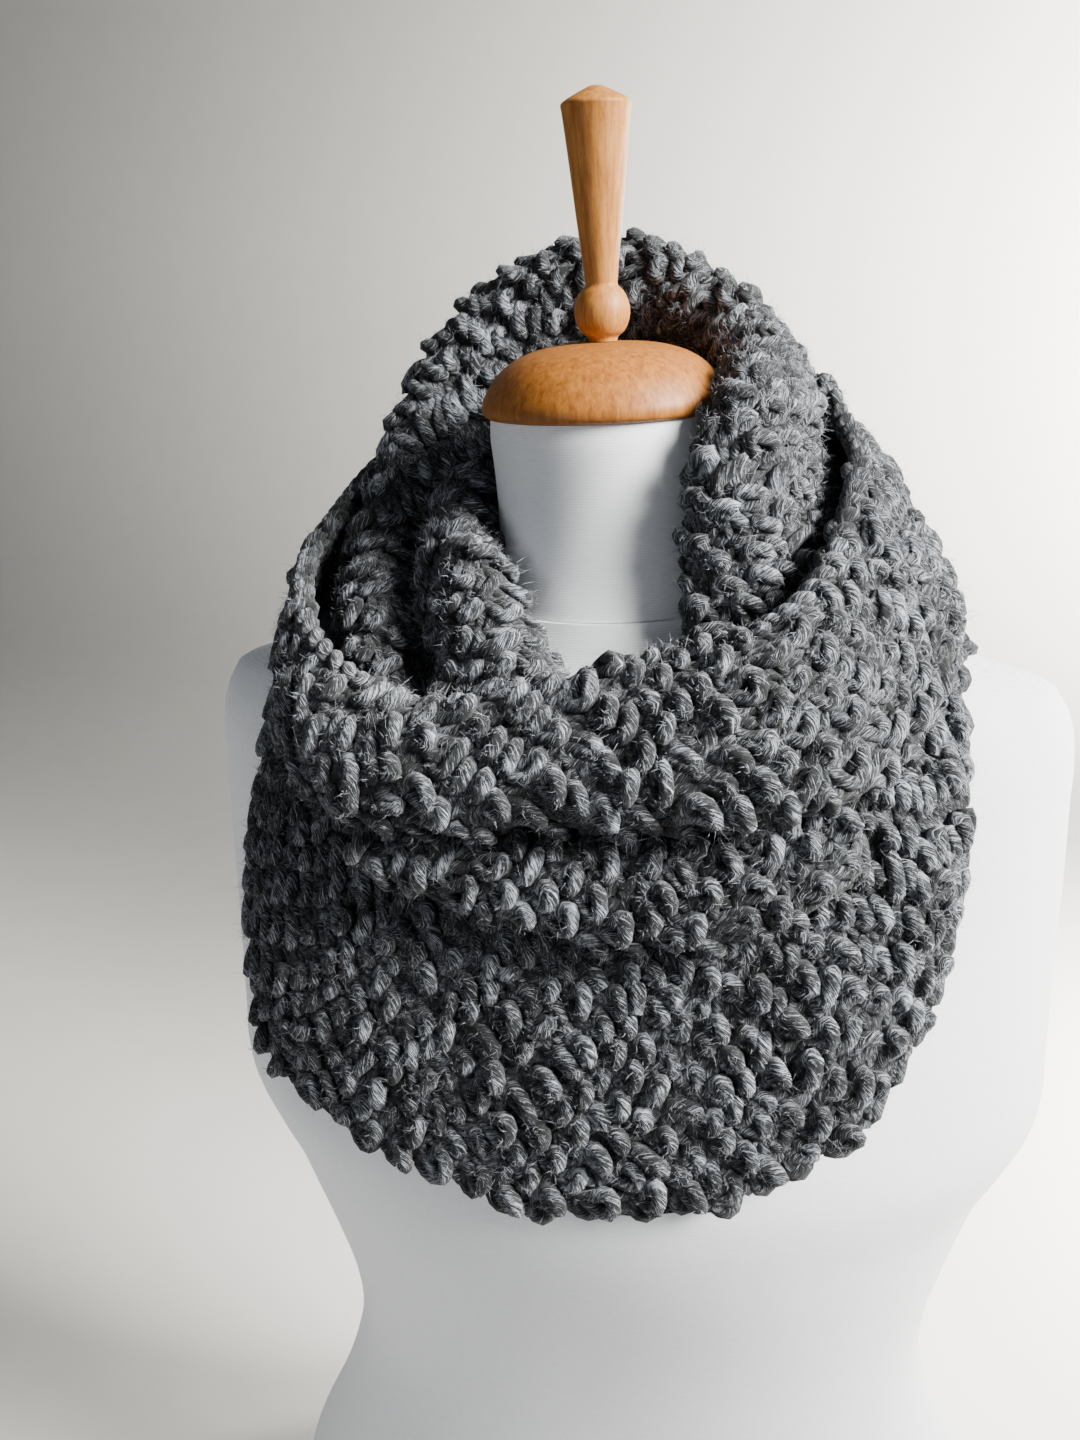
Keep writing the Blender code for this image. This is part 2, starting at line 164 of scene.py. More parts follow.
# Sheets that run level round the neck: for each azimuth, the radii (r) and heights (z) of the lines that
# run along the middle of the cloth, from its upper edge to its lower one, in millimetres.
Bib = namedtuple("Bib", "azimuth top_r top_z slope_r slope_z side_r side_z hang_r hang_z hem_r hem_z")
BIB = (
    Bib(0, 98, 574, 108, 548, 120, 508, 133, 462, 143, 408),
    Bib(20, 99, 576, 111, 550, 125, 509, 138, 462, 148, 409),
    Bib(38, 108, 579, 122, 557, 139, 520, 153, 475, 161, 429),
    Bib(52, 116, 591, 130, 579, 151, 549, 166, 511, 173, 466),
    Bib(63, 120, 607, 134, 600, 154, 583, 170, 560, 177, 530),
    Bib(74, 120, 618, 130, 615, 143, 611, 155, 606, 163, 600),
    Bib(90, 118, 623, 127, 621, 136, 619.5, 145, 618, 153, 616.5),
    Bib(110, 112, 620, 120, 617, 129, 613.5, 138, 609, 145, 603.5),
    Bib(140, 104, 611, 110, 597, 115, 579, 119, 558, 121, 533),
    Bib(180, 98, 606, 102, 587, 106, 566, 108, 542, 109, 516),
    Bib(220, 104, 611, 110, 597, 115, 579, 119, 558, 121, 533),
    Bib(250, 114, 620, 123, 616, 133, 611.5, 143, 606, 149, 601),
    Bib(270, 120, 624, 128, 622, 136, 620.5, 144, 619, 151, 617.5),
    Bib(281, 122, 621, 130, 618, 139, 615, 147, 612, 154, 609),
    Bib(288, 121, 618, 130, 614, 140, 609, 149, 603, 156, 595),
    Bib(293, 120, 611, 131, 604, 144, 594, 156, 579, 164, 560),
    Bib(298, 118, 603, 134, 590, 154, 561, 170, 523, 177, 480),
    Bib(305, 115, 593, 132, 577, 153, 543, 170, 498, 177, 443),
    Bib(318, 106, 581, 121, 560, 141, 523, 158, 477, 167, 426),
    Bib(338, 98, 576, 110, 550, 124, 510, 139, 464, 150, 414),
)
Swag = namedtuple("Swag", "azimuth lip_r lip_z brow_r brow_z roll_r roll_z front_r front_z low_r low_z "
                          "tuck_r tuck_z")
UPPER = (
    Swag(0, 84, 606, 92, 619, 108, 617, 123, 600, 129, 579, 119, 570),
    Swag(22, 80, 613, 92, 627, 114, 622, 129, 601, 135, 580, 124, 571),
    Swag(40, 96, 628, 107, 636, 129, 629, 145, 606, 152, 583, 140, 575),
    Swag(53, 112, 644, 119, 644, 139, 631, 152, 609, 158, 588, 147, 580),
    Swag(66, 113, 660, 121, 655, 139, 638, 151, 618, 156, 603, 146, 598),
    Swag(78, 111, 680, 119, 673, 134, 655, 147, 636, 154, 619, 145, 615),
    Swag(90, 110, 694, 117, 686, 130, 666, 144, 645, 151, 631, 142, 628),
    Swag(105, 106, 705, 114, 696, 127, 675, 139, 652, 146, 633, 137, 630),
    Swag(130, 99, 729, 105, 719, 116, 696, 124, 664, 131, 633, 123, 625),
    Swag(180, 108, 733, 112, 721, 117, 695, 120, 659, 122, 622, 115, 613),
    Swag(230, 119, 717, 123, 706, 129, 684, 135, 657, 139, 631, 131, 623),
    Swag(255, 130, 686, 134, 677, 139, 661, 143, 647, 147, 634, 139, 629),
    Swag(270, 134, 669, 138, 661, 143, 648, 147, 638, 150, 629, 142, 627),
    Swag(284, 139, 655, 143, 648, 147, 636, 150, 623, 150, 612, 143, 609),
    Swag(296, 139, 642, 143, 636, 148, 623, 151, 609, 151, 597, 143, 594),
    Swag(308, 137, 630, 142, 626, 149, 613, 152, 599, 152, 585, 144, 579),
    Swag(318, 128, 617, 136, 617, 148, 607, 153, 593, 154, 578, 145, 572),
    Swag(329, 108, 604, 117, 610, 135, 605, 146, 589, 149, 574, 140, 567),
    Swag(343, 94, 602, 102, 611, 118, 608, 132, 592, 138, 574, 128, 566),
)
Middle = namedtuple("Middle", "azimuth top_r top_z front_r front_z low_r low_z tuck_r tuck_z")
MIDDLE = (
    Middle(-36, 126, 562, 144, 558, 150, 550, 144, 545),
    Middle(-20, 114, 560, 130, 554, 134, 542, 126, 535),
    Middle(0, 108, 560, 124, 550, 127, 533, 118, 525),
    Middle(20, 112, 560, 130, 551, 134, 532, 124, 524),
    Middle(38, 126, 566, 147, 557, 151, 539, 141, 531),
    Middle(50, 140, 574, 158, 568, 161, 556, 153, 549),
)

# Sheets folded over like a tent: for each section, where the crest of the fold runs, how wide the fold is,
# and where its inner and outer legs end (azimuth in degrees, radius and height in millimetres).
Fold = namedtuple("Fold", "azimuth r z width inner_azimuth inner_r inner_z outer_azimuth outer_r outer_z")
HOOD = (
    Fold(39, 82, 610, 24, 54, 66, 622, 58, 92, 606),
    Fold(43, 73, 634, 27, 58, 61, 641, 68, 97, 630),
    Fold(45, 69, 660, 28, 61, 61, 662, 76, 100, 650),
    Fold(48, 68, 690, 28, 64, 61, 686, 84, 101, 664),
    Fold(55, 67, 716, 27, 70, 61, 702, 92, 100, 668),
    Fold(68, 67, 732, 26, 78, 62, 710, 99, 99, 664),
    Fold(90, 68, 742, 26, 94, 62, 714, 107, 98, 654),
    Fold(120, 69, 754, 27, 120, 62, 716, 124, 96, 640),
    Fold(150, 72, 774, 29, 150, 64, 718, 150, 93, 632),
    Fold(180, 77, 790, 30, 180, 66, 718, 180, 93, 630),
    Fold(205, 85, 789, 32, 205, 68, 714, 205, 98, 628),
    Fold(225, 94, 776, 34, 224, 72, 706, 224, 104, 628),
    Fold(240, 101, 753, 34, 237, 77, 692, 237, 108, 628),
    Fold(252, 106, 724, 34, 245, 80, 674, 244, 110, 630),
    Fold(262, 108, 696, 34, 254, 82, 656, 252, 112, 632),
    Fold(273, 108, 669, 33, 264, 84, 644, 261, 113, 634),
    Fold(293, 105, 650, 31, 279, 86, 638, 276, 111, 632),
    Fold(302, 106, 634, 30, 291, 87, 628, 289, 111, 622),
    Fold(310, 108, 620, 28, 301, 88, 616, 299, 111, 610),
    Fold(317, 110, 606, 26, 309, 92, 602, 307, 112, 598),
)
STRIP = (
    Fold(262, 66, 690, 20, 260, 58, 672, 256, 74, 672),
    Fold(283, 67, 685, 20, 281, 57, 666, 276, 81, 654),
    Fold(303, 67, 677, 20, 300, 57, 657, 293, 83, 643),
    Fold(318, 68, 667, 21, 314, 57, 647, 303, 89, 624),
    Fold(331, 70, 654, 24, 327, 58, 636, 308, 95, 607),
    Fold(343, 73, 640, 26, 339, 60, 624, 316, 97, 602),
    Fold(352, 75, 626, 23, 350, 64, 612, 330, 98, 602),
    Fold(360, 80, 612, 22, 359, 70, 602, 340, 102, 592),
)

Carrier = tuple[BVHTree, float, bool]


def linear(hex_colour: str) -> tuple[float, float, float, float]:
    """Turns an sRGB hex colour to linear red, green, blue and alpha.

    Args:
        hex_colour: six hex digits after a hash.

    Returns:
        The linear colour, with an alpha of one.
    """
    channels = (int(hex_colour[i:i + 2], 16) / 255 for i in (1, 3, 5))
    return (*(c / 12.92 if c <= 0.04045 else ((c + 0.055) / 1.055) ** 2.4 for c in channels), 1.0)


def add_node(tree: bpy.types.NodeTree, kind: str, settings: dict[str, Any] | None = None,
             inputs: dict[Any, Any] | None = None) -> bpy.types.Node:
    """Adds a node with its settings, and sets or links its inputs.

    Args:
        tree: the node tree it joins.
        kind: the node's type.
        settings: fields of the node and their values.
        inputs: inputs by name or number, each with a value or the output that feeds it.

    Returns:
        The new node.
    """
    node = tree.nodes.new(kind)
    for name, value in (settings or {}).items():
        setattr(node, name, value)
    for name, value in (inputs or {}).items():
        if isinstance(value, bpy.types.NodeSocket):
            tree.links.new(value, node.inputs[name])
        else:
            node.inputs[name].default_value = value
    return node


def bare_material(name: str) -> tuple[bpy.types.Material, bpy.types.NodeTree]:
    """Makes a material with an empty node tree.

    Args:
        name: the material's name.

    Returns:
        The material and its tree.
    """
    material = bpy.data.materials.new(name)
    material.use_nodes = True
    material.node_tree.nodes.clear()
    return material, material.node_tree


@dataclass(frozen=True)
class WoolYarn:
    """Bulky wool blend, softly plied from light and dark heathered fibres.

    Fine fibres run along each stitch in pale and dark streaks, drawn twice as coarse as real so that they
    show; the surface is matt, with a little sheen.  Painted shade darkens the furrows between the streaks,
    over the dark fibres there, and takes the yarn to near black down between the stitches.
    """

    name: str = "heathered_bulky_wool"
    light: str = "#A8AEB7"
    middle: str = "#1E2124"
    # The dark colour is that of the darkest fibres and of the painted shade in the furrows and between the
    # stitches.
    dark: str = "#060708"
    pitch: float = 0.017          # length of one turn of the twist, metres
    streak: float = 0.0038        # length over which a streak keeps its shade, metres
    streaks: float = 8.0          # the yarn's radius, in widths of a streak
    relief: float = 0.0008        # depth of the furrows between the streaks, metres
    roughness: float = 0.93
    sheen: float = 0.10
    broad_width: float = 3.0      # width of a broad streak, in widths of a fine one
    broad_length: float = 2.2     # its length, in lengths of a fine one
    broad_share: float = 0.45     # how strongly it shades the yarn, where a fine one counts as one
    patch: float = 0.014          # width of a patch of the heather, metres
    patch_shade: float = 0.10     # how far a patch lightens or darkens the streaks
    fleck: float = 0.0016         # width of a fleck, metres
    fleck_shade: float = 0.05     # how far a fleck lightens or darkens them
    pale: tuple[float, float] = (0.74, 0.94)            # streaks that turn from middle to light
    furrowed: tuple[float, float] = (0.52, 0.74)        # streaks that turn from dark fibre and painted furrow shade to middle
    painted_shade_heights: tuple[float, float] = (-0.0010, 0.0068)     # heights out of the cloth over which the painted shade fades out, metres
    dark_fibre_and_painted_shade_depth: float = 0.85         # how dark the painted shade in the furrows and valleys gets, where one is all dark

    def material(self) -> bpy.types.Material:
        """Makes the yarn's material, which follows the yarn by its own UV map.

        Returns:
            The material.
        """
        material, tree = bare_material(self.name)
        route = add_node(tree, "ShaderNodeUVMap", {"uv_map": "yarn"})
        parts = add_node(tree, "ShaderNodeSeparateXYZ", inputs={0: route.outputs[0]})
        turns = add_node(tree, "ShaderNodeMath", {"operation": "MULTIPLY_ADD"},
                         {0: parts.outputs[0], 1: 1 / self.pitch, 2: parts.outputs[1]})
        angle = add_node(tree, "ShaderNodeMath", {"operation": "MULTIPLY"},
                         {0: turns.outputs[0], 1: 2 * math.pi})
        cosine = add_node(tree, "ShaderNodeMath", {"operation": "COSINE"}, {0: angle.outputs[0]})
        sine = add_node(tree, "ShaderNodeMath", {"operation": "SINE"}, {0: angle.outputs[0]})
        round_it = add_node(tree, "ShaderNodeCombineXYZ",
                            inputs={0: cosine.outputs[0], 1: sine.outputs[0]})
        along = add_node(tree, "ShaderNodeCombineXYZ", inputs={2: parts.outputs[0]})

        def streaks(count: float, length: float, detail: float) -> bpy.types.NodeSocket:
            """Draws a noise out along the yarn.

            Args:
                count: the yarn's radius, in widths of a streak.
                length: a streak's length, metres.
                detail: how many finer noises are added to it.

            Returns:
                The noise's value.
            """
            place_at = add_node(tree, "ShaderNodeVectorMath", {"operation": "MULTIPLY_ADD"},
                                {0: round_it.outputs[0], 1: (count, count, 0.0)})
            drawn = add_node(tree, "ShaderNodeVectorMath", {"operation": "SCALE"},
                             {0: along.outputs[0], "Scale": 1 / length})
            tree.links.new(drawn.outputs[0], place_at.inputs[2])
            noise = add_node(tree, "ShaderNodeTexNoise", {"noise_dimensions": "3D"},
                             {"Vector": place_at.outputs[0], "Scale": 1.0, "Detail": detail,
                              "Roughness": 0.65, "Distortion": 0.35})
            return noise.outputs[0]

        fine = streaks(self.streaks, self.streak, 2.0)
        broad = streaks(self.streaks / self.broad_width, self.streak * self.broad_length, 1.0)
        body = add_node(tree, "ShaderNodeTexCoord")
        heather = add_node(tree, "ShaderNodeTexNoise", inputs={
            "Vector": body.outputs["Object"], "Scale": 1 / self.patch, "Detail": 3.0, "Roughness": 0.6})
        mottle = add_node(tree, "ShaderNodeMapRange", inputs={
            0: heather.outputs[0], 1: NOISE_LOW, 2: NOISE_HIGH, 3: -self.patch_shade, 4: self.patch_shade})
        both = add_node(tree, "ShaderNodeMath", {"operation": "MULTIPLY_ADD"},
                        {0: broad, 1: self.broad_share, 2: fine})
        speckle = add_node(tree, "ShaderNodeTexNoise", inputs={
            "Vector": body.outputs["Object"], "Scale": 1 / self.fleck, "Detail": 2.0, "Roughness": 0.7})
        flecks = add_node(tree, "ShaderNodeMapRange", inputs={
            0: speckle.outputs[0], 1: NOISE_LOW, 2: NOISE_HIGH, 3: -self.fleck_shade, 4: self.fleck_shade})
        spotted = add_node(tree, "ShaderNodeMath", {"operation": "ADD"},
                           {0: both.outputs[0], 1: flecks.outputs[0]})
        mixed = add_node(tree, "ShaderNodeMath", {"operation": "ADD"},
                         {0: spotted.outputs[0], 1: mottle.outputs[0]})
        spread = add_node(tree, "ShaderNodeMapRange", {"interpolation_type": "SMOOTHSTEP"},
                          {0: mixed.outputs[0], 1: self.pale[0], 2: self.pale[1], 3: 0.0, 4: 1.0})
        shade = add_node(tree, "ShaderNodeMix", {"data_type": "RGBA"},
                         {0: spread.outputs[0], 6: linear(self.middle), 7: linear(self.light)})
        # Dark fibres, with painted shade in the furrows: the lowest streaks darken towards the dark colour.
        dark_fibre_and_furrow_shade = add_node(tree, "ShaderNodeMapRange", {"interpolation_type": "SMOOTHSTEP"},
                          {0: mixed.outputs[0], 1: self.furrowed[0], 2: self.furrowed[1],
                           3: self.dark_fibre_and_painted_shade_depth, 4: 0.0})
        streaked = add_node(tree, "ShaderNodeMix", {"data_type": "RGBA"},
                            {0: dark_fibre_and_furrow_shade.outputs[0], 6: shade.outputs[2], 7: linear(self.dark)})
        # Painted shade: the yarn darkens towards the dark colour where its skin lies low in the cloth, by its
        # rise attribute.
        level = add_node(tree, "ShaderNodeAttribute", {"attribute_name": "rise"})
        painted_valley_shade = add_node(tree, "ShaderNodeMapRange", {"interpolation_type": "SMOOTHSTEP"},
                          {0: level.outputs["Fac"], 1: self.painted_shade_heights[0], 2: self.painted_shade_heights[1],
                           3: self.dark_fibre_and_painted_shade_depth, 4: 0.0})
        deep = add_node(tree, "ShaderNodeMix", {"data_type": "RGBA"},
                        {0: painted_valley_shade.outputs[0], 6: streaked.outputs[2], 7: linear(self.dark)})
        bump = add_node(tree, "ShaderNodeBump", inputs={
            "Strength": 1.0, "Distance": self.relief, "Height": spotted.outputs[0]})
        shader = add_node(tree, "ShaderNodeBsdfPrincipled", inputs={
            "Base Color": deep.outputs[2], "Roughness": self.roughness, "Normal": bump.outputs[0],
            "Sheen Weight": self.sheen, "Sheen Roughness": 0.6, "Specular IOR Level": 0.2})
        add_node(tree, "ShaderNodeOutputMaterial", inputs={"Surface": shader.outputs[0]})
        return material


@dataclass(frozen=True)
class LooseFibre:
    """Single wool fibres that have worked out of the yarn: pale, thin and matt."""

    name: str = "loose_wool_fibre"
    colour: str = "#B6BBC3"
    dark: str = "#4B4E54"
    patch: float = 0.004          # width over which the fibres keep their shade, metres

    def material(self) -> bpy.types.Material:
        """Makes the fibres' material, with the shade varied from fibre to fibre.

        Returns:
            The material.
        """
        material, tree = bare_material(self.name)
        body = add_node(tree, "ShaderNodeTexCoord")
        heather = add_node(tree, "ShaderNodeTexNoise", inputs={
            "Vector": body.outputs["Object"], "Scale": 1 / self.patch, "Detail": 1.0})
        colour = add_node(tree, "ShaderNodeMix", {"data_type": "RGBA"},
                          {0: heather.outputs[0], 6: linear(self.dark), 7: linear(self.colour)})
        shader = add_node(tree, "ShaderNodeBsdfPrincipled", inputs={
            "Base Color": colour.outputs[2], "Roughness": 0.8, "Specular IOR Level": 0.3})
        add_node(tree, "ShaderNodeOutputMaterial", inputs={"Surface": shader.outputs[0]})
        return material


@dataclass(frozen=True)
class ShadedWool:
    """The same wool between the stitches, painted dark as the shade there: matt, furrowed by the next yarn."""

    name: str = "painted_shade_ground_between_stitches"
    light: str = "#4B4E53"
    dark: str = "#08090A"
    ply: float = 0.0012           # width of one ply, metres
    lit: tuple[float, float] = (0.42, 0.64)     # plies that turn from dark to light
    relief: float = 0.001         # depth of the furrows, metres

    def material(self) -> bpy.types.Material:
        """Makes the ground's material, a fibrous noise as wide as one ply.

        Returns:
            The material.
        """
        material, tree = bare_material(self.name)
        body = add_node(tree, "ShaderNodeTexCoord")
        fibres = add_node(tree, "ShaderNodeTexNoise", inputs={
            "Vector": body.outputs["Object"], "Scale": 1 / self.ply, "Detail": 3.0, "Roughness": 0.7})
        spread = add_node(tree, "ShaderNodeMapRange", {"interpolation_type": "SMOOTHSTEP"},
                          {0: fibres.outputs[0], 1: self.lit[0], 2: self.lit[1], 3: 0.0, 4: 1.0})
        colour = add_node(tree, "ShaderNodeMix", {"data_type": "RGBA"},
                          {0: spread.outputs[0], 6: linear(self.dark), 7: linear(self.light)})
        bump = add_node(tree, "ShaderNodeBump", inputs={
            "Strength": 0.8, "Distance": self.relief, "Height": fibres.outputs[0]})
        shader = add_node(tree, "ShaderNodeBsdfPrincipled", inputs={
            "Base Color": colour.outputs[2], "Roughness": 0.95, "Normal": bump.outputs[0],
            "Specular IOR Level": 0.1})
        add_node(tree, "ShaderNodeOutputMaterial", inputs={"Surface": shader.outputs[0]})
        return material


@dataclass(frozen=True)
class CoverJersey:
    """Fine weft-knitted jersey stretched over the padded form.

    Its courses show as faint level lines; the surface is matt, pale and a little cool.
    """

    name: str = "stretched_cotton_jersey"
    light: str = "#F6F8FA"
    dark: str = "#DDE1E6"
    course: float = 0.0011        # height of one course; drawn twice as coarse as real so that it shows
    wale: float = 0.0013          # width of one wale, metres
    relief: float = 0.00012       # depth of the furrows between the threads, metres
    drawn: float = 0.35           # bands of noise to a wale, so that it runs out along the courses
    lines: float = 0.22           # how strongly the courses show over the threads

    def material(self) -> bpy.types.Material:
        """Makes the cover's material: courses by height, wales by a noise drawn out along them.

        Returns:
            The material.
        """
        material, tree = bare_material(self.name)
        body = add_node(tree, "ShaderNodeTexCoord")
        parts = add_node(tree, "ShaderNodeSeparateXYZ", inputs={0: body.outputs["Object"]})
        level = add_node(tree, "ShaderNodeMath", {"operation": "MULTIPLY"},
                         {0: parts.outputs[2], 1: 2 * math.pi / self.course})
        courses = add_node(tree, "ShaderNodeMath", {"operation": "SINE"}, {0: level.outputs[0]})
        drawn = add_node(tree, "ShaderNodeMapping", {"vector_type": "POINT"},
                         {"Vector": body.outputs["Object"],
                          "Scale": (self.drawn / self.wale, self.drawn / self.wale, 1 / self.course)})
        threads = add_node(tree, "ShaderNodeTexNoise", inputs={
            "Vector": drawn.outputs[0], "Scale": 1.0, "Detail": 3.0, "Roughness": 0.7})
        tone = add_node(tree, "ShaderNodeMath", {"operation": "MULTIPLY_ADD"},
                        {0: courses.outputs[0], 1: self.lines, 2: threads.outputs[0]})
        colour = add_node(tree, "ShaderNodeMix", {"data_type": "RGBA"},
                          {0: tone.outputs[0], 6: linear(self.dark), 7: linear(self.light)})
        bump = add_node(tree, "ShaderNodeBump", inputs={
            "Strength": 0.6, "Distance": self.relief, "Height": tone.outputs[0]})
        shader = add_node(tree, "ShaderNodeBsdfPrincipled", inputs={
            "Base Color": colour.outputs[2], "Roughness": 0.85, "Normal": bump.outputs[0],
            "Sheen Weight": 0.15, "Specular IOR Level": 0.25})
        add_node(tree, "ShaderNodeOutputMaterial", inputs={"Surface": shader.outputs[0]})
        return material


@dataclass(frozen=True)
class TurnedBeech:
    """Steamed beech, turned on a lathe and waxed.

    Straight brown grain runs up the piece, with short dark ray flecks; the wax gives a soft, broad shine.
    """

    name: str
    light: str = "#A66A2B"
    dark: str = "#7A4512"
    fleck: str = "#6B3A12"
    grain: float = 0.0022         # width of one band of grain, metres
    drawn: float = 0.07           # a band's width, as a share of its length
    relief: float = 0.0002        # depth of the grain, metres
    ray: float = 0.0007           # width of a ray fleck, metres
    ray_length: float = 0.0035    # its length
    edge: tuple[float, float] = (0.12, 0.3)     # where a ray fleck fades out from its middle
    ray_shade: float = 0.45       # how strongly it shows

    def material(self) -> bpy.types.Material:
        """Makes the wood's material: grain drawn out along the height, and ray flecks over it.

        Returns:
            The material.
        """
        material, tree = bare_material(self.name)
        body = add_node(tree, "ShaderNodeTexCoord")
        drawn = add_node(tree, "ShaderNodeMapping", inputs={
            "Vector": body.outputs["Object"],
            "Scale": (1 / self.grain, 1 / self.grain, self.drawn / self.grain)})
        grain = add_node(tree, "ShaderNodeTexNoise", inputs={
            "Vector": drawn.outputs[0], "Scale": 1.0, "Detail": 4.0, "Roughness": 0.6,
            "Distortion": 0.4})
        spread = add_node(tree, "ShaderNodeMapRange", inputs={
            0: grain.outputs[0], 1: NOISE_LOW, 2: NOISE_HIGH, 3: 0.0, 4: 1.0})
        wood = add_node(tree, "ShaderNodeMix", {"data_type": "RGBA"},
                        {0: spread.outputs[0], 6: linear(self.dark), 7: linear(self.light)})
        rays = add_node(tree, "ShaderNodeMapping", inputs={
            "Vector": body.outputs["Object"],
            "Scale": (1 / self.ray, 1 / self.ray, 1 / self.ray_length)})
        flecks = add_node(tree, "ShaderNodeTexVoronoi", {"feature": "F1"},
                          {"Vector": rays.outputs[0], "Scale": 1.0})
        fleck = add_node(tree, "ShaderNodeMapRange", {"interpolation_type": "SMOOTHSTEP"},
                         {0: flecks.outputs[0], 1: self.edge[0], 2: self.edge[1],
                          3: self.ray_shade, 4: 0.0})
        colour = add_node(tree, "ShaderNodeMix", {"data_type": "RGBA"},
                          {0: fleck.outputs[0], 6: wood.outputs[2], 7: linear(self.fleck)})
        bump = add_node(tree, "ShaderNodeBump", inputs={
            "Strength": 0.25, "Distance": self.relief, "Height": grain.outputs[0]})
        shader = add_node(tree, "ShaderNodeBsdfPrincipled", inputs={
            "Base Color": colour.outputs[2], "Roughness": 0.52, "Normal": bump.outputs[0],
            "Specular IOR Level": 0.3, "Coat Weight": 0.05, "Coat Roughness": 0.3})
        add_node(tree, "ShaderNodeOutputMaterial", inputs={"Surface": shader.outputs[0]})
        return material


@dataclass(frozen=True)
class PaintedPlaster:
    """Pale emulsion paint on a plastered wall and floor: matt, with a faint roller texture."""

    name: str = "pale_emulsion_paint"
    light: str = "#F1EFEB"
    dark: str = "#ECE9E4"
    nap: float = 0.05             # width of the roller's texture, metres

    def material(self) -> bpy.types.Material:
        """Makes the paint's material.

        Returns:
            The material.
        """
        material, tree = bare_material(self.name)
        body = add_node(tree, "ShaderNodeTexCoord")
        roller = add_node(tree, "ShaderNodeTexNoise", inputs={
            "Vector": body.outputs["Object"], "Scale": 1 / self.nap, "Detail": 3.0})
        colour = add_node(tree, "ShaderNodeMix", {"data_type": "RGBA"},
                          {0: roller.outputs[0], 6: linear(self.dark), 7: linear(self.light)})
        shader = add_node(tree, "ShaderNodeBsdfPrincipled", inputs={
            "Base Color": colour.outputs[2], "Roughness": 0.9})
        add_node(tree, "ShaderNodeOutputMaterial", inputs={"Surface": shader.outputs[0]})
        return material


def spline(knots: Sequence[float], values: np.ndarray, targets: np.ndarray,
           period: float | None = None) -> np.ndarray:
    """Reads a smooth curve through the values at the knots.

    Args:
        knots: where the values are known.
        values: one row of values for each knot.
        targets: where the curve is read.
        period: the curve's period, where it closes on itself.

    Returns:
        One row of values for each target.
    """
    knots = np.asarray(knots, float)
    values = np.asarray(values, float)
    if period:
        knots = np.concatenate([knots[-2:] - period, knots, knots[:2] + period])
        values = np.concatenate([values[-2:], values, values[:2]])
    slopes = np.gradient(values, knots, axis=0)
    index = np.clip(np.searchsorted(knots, targets, side="right") - 1, 0, len(knots) - 2)
    width = (knots[index + 1] - knots[index])[:, None]
    t = (targets - knots[index])[:, None] / width
    return (values[index] * (1 + 2 * t) * (1 - t) ** 2 + slopes[index] * width * t * (1 - t) ** 2
            + values[index + 1] * t * t * (3 - 2 * t) - slopes[index + 1] * width * t * t * (1 - t))


def spaced(points: np.ndarray, count: int) -> np.ndarray:
    """Divides a smooth line through the points into equal steps.

    Args:
        points: the line's points, one row each.
        count: how many steps.

    Returns:
        The ends of the steps.
    """
    chords = np.sqrt(np.linalg.norm(np.diff(points, axis=0), axis=1))
    knots = np.concatenate([[0], np.cumsum(chords)])
    fine = spline(knots, points, np.linspace(0, knots[-1], FINE))
    along = np.concatenate([[0], np.cumsum(np.linalg.norm(np.diff(fine, axis=0), axis=1))])
    even = np.linspace(0, along[-1], count + 1)
    return np.stack([np.interp(even, along, fine[:, axis]) for axis in range(fine.shape[1])], axis=1)


def place(azimuth: float, radius: float, height: float) -> np.ndarray:
    """The point at an azimuth, a distance from the neck's axis and a height."""
    return np.array((radius * math.sin(azimuth), -radius * math.cos(azimuth), height))


def spot(degrees: float, radius: float, height: float) -> np.ndarray:
    """The point that a table gives in degrees and millimetres."""
    return place(math.radians(degrees), radius * MM, height * MM)


def level_grid(rows: Sequence[tuple], around: int, across: int, closed: bool) -> np.ndarray:
    """The middle of a level sheet.

    Args:
        rows: the sheet's table.
        around: how many sections the grid has along the loop.
        across: how many steps it has across the cloth.
        closed: whether it closes round the neck.

    Returns:
        A grid of points, along the loop by across the cloth.
    """
    azimuths = np.array([row.azimuth for row in rows], float)
    lines = np.array([row[1:] for row in rows], float) * MM
    if closed:
        targets = azimuths[0] + np.arange(around) * 360 / around
        sections = spline(azimuths, lines, targets, period=360)
    else:
        targets = np.linspace(azimuths[0], azimuths[-1], around)
        sections = spline(azimuths, lines, targets)
    grid = []
    for azimuth, section in zip(np.radians(targets), sections):
        line = spaced(section.reshape(-1, 2), across)
        grid.append([place(azimuth, radius, height) for radius, height in line])
    return np.array(grid)


def folded_grid(rows: Sequence[Fold], around: int, across: int) -> np.ndarray:
    """The middle of a folded sheet.

    Args:
        rows: the sheet's table.
        around: how many sections the grid has along the fold's crest.
        across: how many steps it has across the cloth.

    Returns:
        A grid of points, along the crest by across the cloth.
    """
    crests = np.array([spot(row.azimuth, row.r, row.z) for row in rows])
    inner = np.array([spot(row.inner_azimuth, row.inner_r, row.inner_z) for row in rows])
    outer = np.array([spot(row.outer_azimuth, row.outer_r, row.outer_z) for row in rows])
    widths = np.array([row.width for row in rows]) * MM
    knots = np.concatenate([[0], np.cumsum(np.linalg.norm(np.diff(crests, axis=0), axis=1))])
    tangents = np.gradient(crests, knots, axis=0)
    sections = []
    for crest, tangent, width, foot, far_foot in zip(crests, tangents, widths, inner, outer):
        tangent = tangent / np.linalg.norm(tangent)
        outward = crest * (1, 1, 0)
        outward = outward - tangent * outward.dot(tangent)
        outward = outward / np.linalg.norm(outward)
        upward = np.cross(outward, tangent)
        side = outward * width / 2
        drop = upward * width * FOLD_DROP
        sections.append((foot, crest - side - drop, crest, crest + side - drop, far_foot))
    sections = np.array(sections)
    stations = np.linspace(0, knots[-1], around)
    sections = spline(knots, sections.reshape(len(rows), -1), stations).reshape(around, -1, 3)
    return np.array([spaced(section, across) for section in sections])


